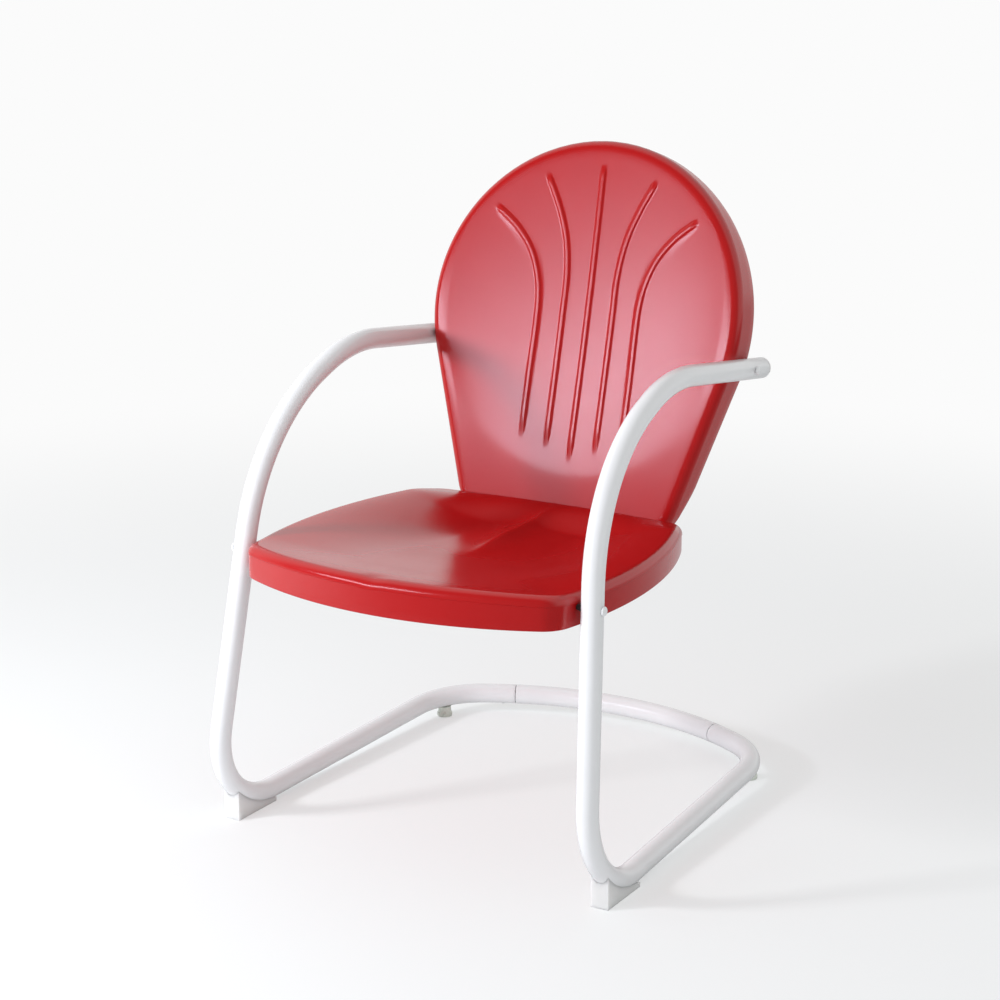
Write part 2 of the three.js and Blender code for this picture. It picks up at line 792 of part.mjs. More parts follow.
// Height of the pan: the rim, less the dished buckets, plus the ridge between them
function panHeight(x, y) {
  const halfWidth = seatSideX + Math.sqrt(seatSideRadius ** 2 - (y - widestY) ** 2) - seatRounding;
  const lipY = seatRear - x ** 2 / (2 * seatRearRadius);
  const share = Math.abs(x) / halfWidth;
  const flank = 1 - ease((share - bucketFloorShare) / bucketFlankShare);
  const slope = ease((y - seatFront - frontShelf) / bucketSlope);
  const toLip = ease((lipY - y - seatRearRounding) / lipSlope);
  const ridge = ease((y - seatFront - ridgeStart) / ridgeRun) * Math.exp(-((x / ridgeHalfWidth) ** 2));
  return rimHeight(y) - bucketDepth * flank * slope * toLip + ridgeHeight * ridge * toLip;
}

function seatShell() {
  const levelShares = [0.95, 0.87, 0.76, 0.62, 0.47, 0.3, 0.14];
  const hubY = seatFront + seatHub;
  const slant = Math.tan(lean);
  const rings = [seatOutline(0, 0).map(([x, y]) => {
    const drop = (rimHeight(y) - seatRearRounding) * slant * rearShare(y);
    return new THREE.Vector3(x, y - drop, seatBottom);
  })];
  const roundingDeg = [0, 45];
  roundingDeg.forEach((degrees) => {
    const angle = THREE.MathUtils.degToRad(degrees);
    const inset = seatRounding * (1 - Math.cos(angle));
    const rearInset = seatRearRounding * (1 - Math.cos(angle));
    rings.push(seatOutline(inset, rearInset).map(([x, y]) => {
      const radius = seatRounding + (seatRearRounding - seatRounding) * rearShare(y);
      const z = seatBottom + rimHeight(y) - radius * (1 - Math.sin(angle));
      return new THREE.Vector3(x, y, z);
    }));
  });
  const rim = seatOutline(seatRounding, seatRearRounding);
  rings.push(rim.map(([x, y]) => new THREE.Vector3(x, y, seatBottom + rimHeight(y))));
  levelShares.forEach((share) => {
    rings.push(rim.map(([x, y]) => {
      const [panX, panY] = [x * share, hubY + (y - hubY) * share];
      return new THREE.Vector3(panX, panY, seatBottom + panHeight(panX, panY));
    }));
  });
  const middle = new THREE.Vector3(0, hubY, seatBottom + panHeight(0, hubY));
  const sideHoles = Object.keys(sides).map((side) => {
    return holeAcross(seatBolts[side], boltHoleDiameter, tubeDiameter + 8 * cutOverrun);
  });
  return withoutAll(sheetSolid(rings, middle), [...sideHoles, ...backBoltHoles()]);
}

// Finishes
const whitePaint = new THREE.MeshStandardMaterial({ color: 0xf2f2f0, roughness: 0.35, metalness: 0 });
const redPaint = new THREE.MeshStandardMaterial({ color: 0xb3131b, roughness: 0.3, metalness: 0 });
const whitePlastic = new THREE.MeshStandardMaterial({ color: 0xf4f4f2, roughness: 0.5, metalness: 0 });
const clearPlastic = new THREE.MeshStandardMaterial({ color: 0xb9c4b4, roughness: 0.4, metalness: 0 });
const zincSteel = new THREE.MeshStandardMaterial({ color: 0xb8bcc0, roughness: 0.35, metalness: 1 });

const chair = new THREE.Group();

function addPiece(name, geometry, material) {
  const mesh = new THREE.Mesh(geometry, material);
  mesh.name = name;
  chair.add(mesh);
}

addPiece('seat_shell', seatShell(), redPaint);
addPiece('back_shell', backShell(), redPaint);
addPiece('rear_cross_tube', rearCrossTube(), whitePaint);

Object.keys(sides).forEach((side) => {
  const inward = across.clone().multiplyScalar(-sides[side]);
  const outward = inward.clone().negate();
  const seat = seatBolts[side].place;
  const arm = armBolts[side].place;
  const nutRoom = (nutAcrossFlats / Math.sqrt(3)) * skirtSlope;
  const skirtGrip = spacerThickness + spacerRoom + 2 * sheetThickness + skirtChordSag + nutRoom;
  const seatGrip = 2 * headOut + pieceGap + skirtGrip;
  const flangeSlope = (backCentreUp - armBoltUp) / backHalfAtBolt;
  const armNutRoom = (nutAcrossFlats / Math.sqrt(3)) * flangeSlope + backChordSag + pieceGap;
  const armGrip = headOut + armBoltAcross - backHalfAtBolt + sheetThickness + armNutRoom;
  addPiece(`arm_leg_tube_${side}`, armLegTube(side), whitePaint);
  addPiece(`spring_bend_${side}`, springBend(side), whitePaint);
  addPiece(`floor_rail_${side}`, floorRail(side), whitePaint);
  addPiece(`seam_screw_${side}`, seamScrew(side), zincSteel);
  addPiece(`front_foot_${side}`, frontFoot(side), whitePlastic);
  addPiece(`rear_bumper_${side}`, rearBumper(side), clearPlastic);
  addPiece(`arm_end_cap_${side}`, armEndCap(side), whitePlastic);
  const along = (place, distance) => place.clone().addScaledVector(outward, distance);
  const armNutAt = along(arm, headOut - armGrip - nutHeight);
  const seatNutAt = along(seat, headOut - seatGrip - nutHeight);
  addPiece(`arm_bolt_${side}`, domeBolt(along(arm, headOut), outward, armGrip), whitePaint);
  addPiece(`arm_nut_${side}`, hexNut(armNutAt, outward), zincSteel);
  addPiece(`seat_bolt_${side}`, domeBolt(along(seat, headOut), outward, seatGrip), whitePaint);
  addPiece(`seat_nut_${side}`, hexNut(seatNutAt, outward), zincSteel);
  addPiece(`seat_spacer_${side}`, spacerRing(along(seat, -headOut), inward), zincSteel);
});

Object.keys(backBoltSpots).forEach((spot) => {
  const { place, way } = backBolt(spot);
  const rearward = way.clone().negate();
  const behind = place.clone().addScaledVector(rearward, sheetThickness + pieceGap);
  const grip = 2 * sheetThickness + seatBackClearance + 3 * pieceGap;
  addPiece(`back_bolt_${spot}`, domeBolt(behind, rearward, grip), zincSteel);
  addPiece(`back_nut_${spot}`, hexNut(behind.clone().addScaledVector(way, grip), way), zincSteel);
});

export default chair;
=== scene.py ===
"""The looks of a retro metal spring lawn chair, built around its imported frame. Metres, +Z up."""

import math

import bmesh
import bpy
import numpy as np
from mathutils import Matrix, Quaternion, Vector


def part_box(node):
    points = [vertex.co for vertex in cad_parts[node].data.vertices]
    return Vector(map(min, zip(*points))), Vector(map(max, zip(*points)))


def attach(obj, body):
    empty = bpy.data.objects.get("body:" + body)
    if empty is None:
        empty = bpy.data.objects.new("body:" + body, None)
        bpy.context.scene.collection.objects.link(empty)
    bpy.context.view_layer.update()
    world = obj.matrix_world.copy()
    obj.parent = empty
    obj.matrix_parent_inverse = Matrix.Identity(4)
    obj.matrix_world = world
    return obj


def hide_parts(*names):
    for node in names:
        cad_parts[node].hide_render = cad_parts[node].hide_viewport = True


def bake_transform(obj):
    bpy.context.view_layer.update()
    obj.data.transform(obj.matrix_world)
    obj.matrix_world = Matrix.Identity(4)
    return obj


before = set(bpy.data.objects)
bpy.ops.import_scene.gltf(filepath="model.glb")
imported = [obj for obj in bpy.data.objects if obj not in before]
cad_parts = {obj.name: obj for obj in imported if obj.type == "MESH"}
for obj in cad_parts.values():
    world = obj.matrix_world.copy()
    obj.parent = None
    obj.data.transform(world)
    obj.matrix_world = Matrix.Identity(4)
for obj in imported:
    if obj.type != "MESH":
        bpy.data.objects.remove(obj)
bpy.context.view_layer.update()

# Camera: a long lens to the right front of the chair, a little above the top of its back,
# so that the seat shows its whole pan and the floor rails show below it.
camera_place = Vector((1.5634, -2.6520, 1.2335))
camera_azimuth = math.radians(30.807)
camera_elevation = math.radians(14.857)
lens_length = 87.13
sensor_width = 36.0

toward_camera = Vector((
    math.sin(camera_azimuth) * math.cos(camera_elevation),
    -math.cos(camera_azimuth) * math.cos(camera_elevation),
    math.sin(camera_elevation),
))
camera_right = Vector((math.cos(camera_azimuth), math.sin(camera_azimuth), 0))
camera_up = toward_camera.cross(camera_right)
camera_data = bpy.data.cameras.new("camera")
camera_data.lens = lens_length
camera_data.sensor_width = sensor_width
camera = bpy.data.objects.new("camera", camera_data)
camera_turn = Matrix((camera_right, camera_up, toward_camera)).transposed().to_4x4()
camera.matrix_world = Matrix.Translation(camera_place) @ camera_turn
bpy.context.scene.collection.objects.link(camera)
bpy.context.scene.camera = camera

# Side tubes: one steel tube a side, bent from the rear seam round the floor rail, up the
# front bend that springs, along the leg and over into the arm, then powder coated white.
tube_radius = 0.014
tube_wall = 0.0015
tube_sides = 48
bend_step = 0.006
piece_gap = 0.0003
rear_tube_reach = 0.3245
rear_tube_height = 0.0295
bow_radius = 0.4158
bow_angle = math.radians(29.9)
corner_radius = 0.112
rail_length = 0.3524
rail_toe = 2.1
rail_slope = 1.8
spring_bend_radius = 0.1046
leg_length = 0.2628
leg_back = 9.2
leg_in = 4.0
arm_bend_radius = 0.242
arm_mid_length = 0.0134
arm_mid_rise = 21.9
arm_mid_in = 1.5
arm_length = 0.1933
arm_drop = 7.0
arm_flare = 1.7
seam_across = 0.1626
seam_gap = 0.0010
tube_lip = 0.0006
lip_share = 0.7
tube_mouth_depth = 0.012
rail_spans = 2
leg_spans = 4
crisp_angle = math.radians(38)
sides = {"right": 1, "left": -1}


class Wire:
    """One value on its way through a finish, so that shader maths reads as plain sums."""

    def __init__(self, tree, socket):
        self.tree = tree
        self.socket = socket

    def worked(self, operation, first, second):
        return add_node(self.tree, "Math", {"operation": operation}, {0: first, 1: second})

    def __add__(self, other):
        return self.worked("ADD", self, other)

    def __sub__(self, other):
        return self.worked("SUBTRACT", self, other)

    def __rsub__(self, other):
        return self.worked("SUBTRACT", other, self)

    def __mul__(self, other):
        return self.worked("MULTIPLY", self, other)


def feed(tree, socket, value):
    if isinstance(value, Wire):
        tree.links.new(value.socket, socket)
    else:
        socket.default_value = value


def add_node(tree, kind, settings, sockets, output=0):
    """Add a shader node with its settings and inputs, and give back one of its outputs."""
    made = tree.nodes.new("ShaderNode" + kind)
    for name, value in settings.items():
        setattr(made, name, value)
    for name, value in sockets.items():
        feed(tree, made.inputs[name], value)
    return Wire(tree, made.outputs[output])


class Finish:
    """A procedural finish: a Principled surface and the nodes that vary it over the piece."""

    def __init__(self, name, **constants):
        self.material = bpy.data.materials.new(name)
        self.material.use_nodes = True
        self.tree = self.material.node_tree
        self.surface = self.tree.nodes["Principled BSDF"]
        for socket, value in constants.items():
            self.surface.inputs[socket.replace("_", " ")].default_value = value
        self.place = self.node("TexCoord", {}, {}, "Object")

    def node(self, kind, settings, sockets, output=0):
        return add_node(self.tree, kind, settings, sockets, output)

    def noise(self, scale, detail):
        return self.node("TexNoise", {}, {"Vector": self.place, "Scale": scale, "Detail": detail})

    def blend(self, share, low, high):
        settings = {"data_type": "RGBA"}
        return self.node("Mix", settings, {0: share, 6: (*low, 1), 7: (*high, 1)}, 2)

    def bump(self, noise, distance, over=None):
        sockets = {"Height": self.noise(*noise), "Distance": distance}
        if over:
            sockets["Normal"] = over
        return self.node("Bump", {}, sockets)

    def set(self, socket, value):
        feed(self.tree, self.surface.inputs[socket], value)


def grained(name, low, high, mottle, rough, rough_grain, grain, depth, wave=None, sag=0, **constants):
    """The material of a finish whose mottle, roughness and grain are noises of (scale, detail)."""
    finish = Finish(name, **constants)
    finish.set("Base Color", finish.blend(finish.noise(*mottle), low, high))
    finish.set("Roughness", finish.noise(*rough_grain) * (rough[1] - rough[0]) + rough[0])
    slow = finish.bump(wave, sag) if wave else None
    finish.set("Normal", finish.bump(grain, depth, over=slow))
    return finish.material


def powder_coat(name, low, high, rough, peel, sag):
    """Baked powder coat on steel: fine orange peel, a slow wave in the sheet, faint mottling."""
    return grained(
        name, low, high, mottle=(22, 3), rough=rough, rough_grain=(60, 3),
        grain=(520, 2), depth=peel, wave=(9, 1), sag=sag, IOR=1.55,
    )


white_coat = powder_coat(
    "white_powder_coat", low=(0.81, 0.82, 0.83), high=(0.84, 0.85, 0.86),
    rough=(0.20, 0.24), peel=0.000015, sag=0.0001,
)


def way_of(side, rise, out):
    """A way from its angle in the side view, from +Y towards +Z, and its angle out to the side."""
    rise = math.radians(rise)
    out = math.radians(out)
    return Vector((side * math.sin(out), math.cos(out) * math.cos(rise), math.cos(out) * math.sin(rise)))


def ring_of(shape, place, way, radius):
    turn = way.to_track_quat("Z", "Y").to_matrix().to_4x4()
    matrix = Matrix.Translation(place) @ turn
    made = bmesh.ops.create_circle(shape, segments=tube_sides, radius=radius, matrix=matrix)
    return list({edge for vert in made["verts"] for edge in vert.link_edges})


def verts_of(edges):
    return list({vert for edge in edges for vert in edge.verts})


def run_on(shape, ring, shift):
    """Draw a ring out along a straight line, and give back the ring at its far end."""
    grown = bmesh.ops.extrude_edge_only(shape, edges=ring)["geom"]
    new_verts = {item for item in grown if isinstance(item, bmesh.types.BMVert)}
    bmesh.ops.translate(shape, verts=list(new_verts), vec=shift)
    new_edges = [item for item in grown if isinstance(item, bmesh.types.BMEdge)]
    return [edge for edge in new_edges if set(edge.verts) <= new_verts]


def scale_ring(shape, ring, centre, factor):
    bmesh.ops.scale(
        shape, verts=verts_of(ring), vec=(factor, factor, factor), space=Matrix.Translation(-centre)
    )


class Bender:
    """Draws a tube the way a bender does: straight runs and round bends from where it stands."""

    def __init__(self, shape, place, way, radius):
        self.shape = shape
        self.place = place.copy()
        self.way = way.copy()
        self.radius = radius
        self.ring = ring_of(shape, place, way, radius)
        self.first_ring = self.ring

    def run(self, length):
        self.ring = run_on(self.shape, self.ring, self.way * length)
        self.place += self.way * length

    def bend(self, next_way, bend_radius):
        axis = self.way.cross(next_way).normalized()
        centre = self.place + axis.cross(self.way) * bend_radius
        angle = self.way.angle(next_way)
        steps = math.ceil(angle * bend_radius / bend_step)
        geometry = self.ring + verts_of(self.ring)
        spun = bmesh.ops.spin(
            self.shape, geom=geometry, cent=centre, axis=axis, angle=angle, steps=steps
        )
        self.ring = [item for item in spun["geom_last"] if isinstance(item, bmesh.types.BMEdge)]
        self.place = centre + Quaternion(axis, angle) @ (self.place - centre)
        self.way = next_way.copy()

    def open_end(self, ring, place, way, bore):
        """Round the edge of an open end over into the wall, and close the bore a little way in."""
        reach = tube_lip * lip_share
        rest = tube_lip - reach
        lip = run_on(self.shape, ring, way * reach)
        scale_ring(self.shape, lip, place + way * reach, 1 - rest / self.radius)
        face = run_on(self.shape, lip, way * rest)
        scale_ring(self.shape, face, place + way * tube_lip, 1 - reach / self.radius)
        inner = run_on(self.shape, face, Vector((0, 0, 0)))
        scale_ring(self.shape, inner, place + way * tube_lip, bore / (self.radius - tube_lip))
        deep = run_on(self.shape, inner, -way * tube_mouth_depth)
        bmesh.ops.edgeloop_fill(self.shape, edges=deep)


def make_piece(name, shape, material):
    """Turn a bmesh into a named object, with its faces outward, its edges and its material."""
    bmesh.ops.recalc_face_normals(shape, faces=shape.faces)
    data = bpy.data.meshes.new(name)
    shape.to_mesh(data)
    shape.free()
    data.shade_smooth()
    data.set_sharp_from_angle(angle=crisp_angle)
    data.materials.append(material)
    piece = bpy.data.objects.new(name, data)
    bpy.context.scene.collection.objects.link(piece)
    return piece


def side_start(side, across):
    """Place and way on the bow of the rear tube, at a distance from the chair's middle."""
    turn = math.asin(across / bow_radius)
    drop = bow_radius * (1 - math.cos(turn))
    place = Vector((side * across, rear_tube_reach - drop, rear_tube_height))
    return place, Vector((side * math.cos(turn), -math.sin(turn), 0))


rail_ends = {}
arm_ends = {}


def side_tube(name, side):
    shape = bmesh.new()
    seam_place, way = side_start(side, seam_across + seam_gap + tube_lip)
    tube = Bender(shape, seam_place, way, tube_radius)
    out = 90 - math.degrees(bow_angle)
    tube.bend(way_of(side, 180, out), bow_radius)
    tube.bend(way_of(side, 180 + rail_slope, rail_toe), corner_radius)
    for _ in range(rail_spans):
        tube.run(rail_length / rail_spans)
    rail_ends[name] = tube.place.copy()
    tube.bend(way_of(side, 90 - leg_back, -leg_in), spring_bend_radius)
    for _ in range(leg_spans):
        tube.run(leg_length / leg_spans)
    tube.bend(way_of(side, arm_mid_rise, -arm_mid_in), arm_bend_radius)
    tube.run(arm_mid_length)
    tube.bend(way_of(side, -arm_drop, arm_flare), arm_bend_radius)
    tube.run(arm_length - tube_lip)
    arm_ends[name] = (tube.place + tube.way * tube_lip, tube.way.copy())
    bore = tube_radius - tube_wall
    tube.open_end(tube.ring, tube.place, tube.way, bore)
    tube.open_end(tube.first_ring, seam_place, -way, bore)
    return make_piece(f"side_tube_{name}", shape, white_coat)


for name, side in sides.items():
    piece = side_tube(name, side)
    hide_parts(f"arm_leg_tube_{name}", f"spring_bend_{name}", f"floor_rail_{name}")
    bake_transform(piece)

# Rear cross tube: a bowed length of the same tube, whose drawn-down ends slip into the
# side tubes, so that a thin line shows at each seam.
neck_radius = 0.0112
neck_length = 0.012

shape = bmesh.new()
start, outward = side_start(-1, seam_across)
tube = Bender(shape, start, -outward, tube_radius)
tube.bend(side_start(1, seam_across)[1], bow_radius)
for ring, place, way in ((tube.ring, tube.place, tube.way), (tube.first_ring, start, outward)):
    shoulder = run_on(shape, ring, Vector((0, 0, 0)))
    scale_ring(shape, shoulder, place, neck_radius / tube_radius)
    neck = run_on(shape, shoulder, way * neck_length)
    bmesh.ops.edgeloop_fill(shape, edges=neck)
cross_tube = make_piece("rear_cross_tube_coated", shape, white_coat)
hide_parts("rear_cross_tube")
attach(cross_tube, "base")

# Arm end caps: moulded white plugs with a low dome, pressed into the rear ends of the arms.
cap_dome_height = 0.009
cap_dome_steps = 10
turned_steps = 40
weld_distance = 1e-6

white_plastic = grained(
    "white_moulded_plastic", low=(0.73, 0.73, 0.72), high=(0.76, 0.76, 0.75), mottle=(40, 2),
    rough=(0.38, 0.50), rough_grain=(180, 2), grain=(900, 2), depth=0.00003, IOR=1.46,
    Subsurface_Weight=0.6, Subsurface_Radius=(1.0, 0.97, 0.93), Subsurface_Scale=0.012,
)


def turned(shape, profile, place, way, steps):
    """Turn a profile of (radius, along) points round an axis, closed where it meets the axis."""
    turn = way.to_track_quat("Z", "Y").to_matrix().to_4x4()
    matrix = Matrix.Translation(place) @ turn
    verts = [shape.verts.new(matrix @ Vector((radius, 0, along))) for radius, along in profile]
    edges = [shape.edges.new(pair) for pair in zip(verts, verts[1:])]
    bmesh.ops.spin(
        shape, geom=verts + edges, cent=place, axis=way, angle=2 * math.pi, steps=steps, use_merge=True
    )
    bmesh.ops.remove_doubles(shape, verts=shape.verts, dist=weld_distance)


for name in sides:
    shape = bmesh.new()
    end, way = arm_ends[name]
    dome = [(0, -tube_mouth_depth / 2), (tube_radius - tube_wall, -tube_mouth_depth / 2)]
    dome += [(tube_radius - tube_wall, piece_gap), (tube_radius - tube_lip, piece_gap)]
    for step in range(cap_dome_steps + 1):
        angle = math.pi / 2 * step / cap_dome_steps
        rise = piece_gap + tube_lip + (cap_dome_height - tube_lip) * math.sin(angle)
        dome.append((tube_radius * math.cos(angle), rise))
    turned(shape, dome, end, way, turned_steps)
    cap = make_piece(f"arm_cap_{name}", shape, white_plastic)
    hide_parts(f"arm_end_cap_{name}")
    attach(cap, "upper")

# Front feet: white moulded wedges under the front bends, hollowed to hug the tube and
# pegged up into it, so that the rails stay clear of the floor.
foot_wrap = 0.006
foot_rounding = 0.003
foot_rounding_steps = 4
foot_corner_angle = math.radians(30)
foot_tail_square = 0.035
foot_tail_wrap = 0.0035
foot_tail_share = 0.45
foot_top_steps = 16
foot_room_run = 0.020

for name, side in sides.items():
    low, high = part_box(f"front_foot_{name}")
    shape = bmesh.new()
    rail_end = rail_ends[name]
    rail_way = way_of(side, 180 + rail_slope, rail_toe)
    hollow = spring_bend_radius + tube_radius - foot_wrap
    bend_centre = rail_end.z + spring_bend_radius
    rear, front = high.y, low.y
    tail = bend_centre - hollow - foot_wrap + foot_tail_wrap
    corners = [Vector((low.x, rear, 0)), Vector((low.x, rear, tail))]
    for step in range(1, foot_top_steps + 1):
        share = step / foot_top_steps
        y = rear + (front - rear) * share
        z = bend_centre - math.sqrt(hollow ** 2 - (y - rear) ** 2)
        z -= (foot_wrap - foot_tail_wrap) * max(0, 1 - share / foot_tail_share) ** 2
        corners.append(Vector((low.x, y, z)))
    corners.append(Vector((low.x, front, 0)))
    face = shape.faces.new([shape.verts.new(corner) for corner in corners])
    grown = bmesh.ops.extrude_face_region(shape, geom=[face])["geom"]
    moved = [item for item in grown if isinstance(item, bmesh.types.BMVert)]
    bmesh.ops.translate(shape, verts=moved, vec=(high.x - low.x, 0, 0))
    bmesh.ops.recalc_face_normals(shape, faces=shape.faces)
    sharp = [
        edge for edge in shape.edges
        if edge.calc_face_angle(0) > foot_corner_angle
        and min(vert.co.y for vert in edge.verts) < rear - foot_tail_square
    ]
    bmesh.ops.bevel(
        shape, geom=sharp, offset=foot_rounding, segments=foot_rounding_steps, affect="EDGES",
        profile=0.5, material=-1, clamp_overlap=True,
    )
    foot = make_piece(f"foot_{name}", shape, white_plastic)
    room_shape = bmesh.new()
    room_start = rail_end - rail_way * foot_room_run
    room = Bender(room_shape, room_start, rail_way, tube_radius + piece_gap)
    room.run(foot_room_run)
    room.bend(way_of(side, 90 - leg_back, -leg_in), spring_bend_radius)
    bmesh.ops.edgeloop_fill(room_shape, edges=room.ring)
    bmesh.ops.edgeloop_fill(room_shape, edges=room.first_ring)
    cutter = make_piece(f"foot_room_{name}", room_shape, white_plastic)
    cut = foot.modifiers.new("hollow", "BOOLEAN")
    cut.operation = "DIFFERENCE"
    cut.object = cutter
    cut.solver = "EXACT"
    graph = bpy.context.evaluated_depsgraph_get()
    carved = bpy.data.meshes.new_from_object(foot.evaluated_get(graph))
    foot.modifiers.clear()
    foot.data = carved
    foot.data.set_sharp_from_angle(angle=crisp_angle)
    bpy.data.objects.remove(cutter)
    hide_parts(f"front_foot_{name}")
    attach(foot, "base")

# Rear bumpers: short translucent grey-green pads under the rear corners, waisted and
# pegged up into the tube.
bumper_radius = 0.01125
bumper_waist = 0.0095
bumper_rounding = 0.0015
bumper_rounding_steps = 5
bumper_edge = 0.0006
bumper_wall_share = 0.34
bumper_edge_share = 0.4
bumper_waist_share = 0.5

bumper_plastic = grained(
    "clear_bumper_plastic", low=(0.80, 0.86, 0.76), high=(0.88, 0.92, 0.84), mottle=(60, 3),
    rough=(0.22, 0.36), rough_grain=(150, 2), grain=(420, 2), depth=0.00004,
    IOR=1.45, Transmission_Weight=0.2,
)

for name in sides:
    low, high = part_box(f"rear_bumper_{name}")
    middle = (low + high) / 2
    top = rear_tube_height - tube_radius - piece_gap
    shape = bmesh.new()
    profile = [(0, 0), (bumper_radius - bumper_rounding, 0)]
    for step in range(1, bumper_rounding_steps + 1):
        angle = math.pi / 2 * step / bumper_rounding_steps
        profile.append((
            bumper_radius - bumper_rounding * (1 - math.sin(angle)),
            bumper_rounding * (1 - math.cos(angle)),
        ))
    profile += [(bumper_radius, top * bumper_wall_share)]
    profile += [(bumper_radius - bumper_edge, top * bumper_edge_share)]
    profile += [(bumper_waist, top * bumper_waist_share), (bumper_waist, top), (0, top)]
    turned(shape, profile, Vector((middle.x, middle.y, 0)), Vector((0, 0, 1)), turned_steps)
    bumper = make_piece(f"bumper_{name}", shape, bumper_plastic)
    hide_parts(f"rear_bumper_{name}")
    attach(bumper, "base")

# Back shell: one pressed steel sheet with a round top and tapering sides, rolled over at its
# edge into a flange, with five raised ribs that fan out upward across a shallow round dish.
sheet_thickness = 0.0012
back_lean = math.radians(13.1)
back_taper = math.radians(17)
arm_bolt_from_end = 0.040
arm_bolt_up = 0.082
arm_bolt_forward = 0.013
back_centre_up = 0.1326
back_foot = -0.165
back_foot_corner = 0.060
back_bow_radius = 1.288
back_crease_forward = 0.0043
back_rounding = 0.013
back_rear_edge = -0.013
back_flange_fade = 0.090
back_foot_forward = 0.0027
dish_depth = 0.0045
dish_centre_up = 0.131
dish_radius = 0.2205
dish_softness_share = 0.045
rib_half_width = 0.0046
rib_height = 0.0017
rib_foot_fade = 0.035
rib_top_fade = 0.010
crease_step = 0.0007
hem_rounding = 0.0015
hem_lip = 0.006
outline_step = 0.002
corner_step = 0.001
least_step = 1e-7
back_rows = 150
strip_counts = [10, 6, 5, 5, 6, 10]
rib_columns = [0.0011, 0.0019, 0.0026, 0.0032, 0.0038, 0.0045, 0.0065]
roll_steps = 8
wall_shares = (0.0, 0.33, 0.66, 1.0)
hem_shares = (0.33, 0.66, 1.0, 2.0)

back_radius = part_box("back_shell")[1].x
arm_end, arm_way = arm_ends["right"]
arm_bolt_place = arm_end - arm_way * arm_bolt_from_end
back_up = Vector((0, math.sin(back_lean), math.cos(back_lean)))
back_out = Vector((0, -math.cos(back_lean), math.sin(back_lean)))
back_origin = arm_bolt_place - back_up * arm_bolt_up - back_out * arm_bolt_forward
back_origin.x = 0

red_coat = powder_coat(
    "red_powder_coat", low=(0.41, 0.0062, 0.0070), high=(0.44, 0.0070, 0.0078),
    rough=(0.21, 0.24), peel=0.000012, sag=0.00012,
)


def ease(share):
    """From 0 to 1 as the share does, level at both ends."""
    share = np.clip(share, 0, 1)
    return share * share * (3 - 2 * share)


def arc(centre, radius, start, end, spacing=outline_step):
    """Places and outward ways on an arc, as rows of (across, along, way across, way along)."""
    count = max(2, math.ceil(abs(end - start) * radius / spacing))
    angles = np.linspace(start, end, count + 1)
    ways = np.stack([np.cos(angles), np.sin(angles)], 1)
    return np.hstack([np.array(centre) + radius * ways, ways])


class Path:
    """A line through close points, found again by its share of the length."""

    def __init__(self, rows):
        rows = np.asarray(rows, float)
        steps = np.hypot(*(np.diff(rows[:, :2], axis=0)).T)
        keep = np.concatenate([[True], steps > least_step])
        self.rows = rows[keep]
        steps = np.hypot(*(np.diff(self.rows[:, :2], axis=0)).T)
        self.along = np.concatenate([[0], np.cumsum(steps)])
        self.length = self.along[-1]

    def at(self, share):
        spot = share * self.length
        return np.array([np.interp(spot, self.along, column) for column in self.rows.T])

    def distance(self, points):
        """Distance of many points from the line, and how far along it each one's foot is."""
        start, end = self.rows[:-1, :2], self.rows[1:, :2]
        run = end - start
        length = np.hypot(*run.T)
        best = np.full(len(points), np.inf)
        best_along = np.zeros(len(points))
        for origin, step, size, before in zip(start, run, length, self.along):
            share = np.clip(((points - origin) @ step) / size ** 2, 0, 1)
            gap = np.hypot(*(points - origin - share[:, None] * step).T)
            nearer = gap < best
            best = np.where(nearer, gap, best)
            best_along = np.where(nearer, before + share * size, best_along)
        return best, best_along


def through(points, per_span=16):
    """Rows of a smooth line through a few points: a centripetal Catmull-Rom line."""
    points = [np.array(point, float) for point in points]
    points = [2 * points[0] - points[1], *points, 2 * points[-1] - points[-2]]
    rows = []
    for p0, p1, p2, p3 in zip(points, points[1:], points[2:], points[3:]):
        t1 = math.sqrt(np.linalg.norm(p1 - p0))
        t2 = t1 + math.sqrt(np.linalg.norm(p2 - p1))
        t3 = t2 + math.sqrt(np.linalg.norm(p3 - p2))
        for t in np.linspace(t1, t2, per_span, endpoint=False):
            a1 = p0 + (p1 - p0) * t / t1
            a2 = p1 + (p2 - p1) * (t - t1) / (t2 - t1)
            a3 = p2 + (p3 - p2) * (t - t2) / (t3 - t2)
            b1 = a1 + (a2 - a1) * t / t2
            b2 = a2 + (a3 - a2) * (t - t1) / (t3 - t1)
            rows.append(b1 + (b2 - b1) * (t - t1) / (t2 - t1))
    rows.append(points[-2])
    return rows


def mirrored(rows):
    """Rows of the half on the left, from those on the right."""
    return np.asarray(rows) * np.array([-1, 1, -1, 1][: len(rows[0])])


def patch_point(low, high, left, right, across, along):
    """A place on the patch between four edge lines, at its shares across and along."""
    between_sides = left + (right - left) * across
    ends = low(across) + (high(across) - low(across)) * along
    corners_low = low(0) + (low(1) - low(0)) * across
    corners_high = high(0) + (high(1) - high(0)) * across
    return between_sides + ends - (corners_low + (corners_high - corners_low) * along)


# the outline of the face inside its rolled edge, walked up its right half from the foot
face_radius = back_radius - back_rounding
foot_up = back_foot + back_rounding
face_corner = back_foot_corner - back_rounding
corner_up = foot_up + face_corner
side_at_corner = (face_radius + (corner_up - back_centre_up) * math.sin(back_taper)) / math.cos(back_taper)
corner_across = side_at_corner - face_corner / math.cos(back_taper)
corner_split = -math.pi / 4 - back_taper / 2
top_split = math.radians(34)

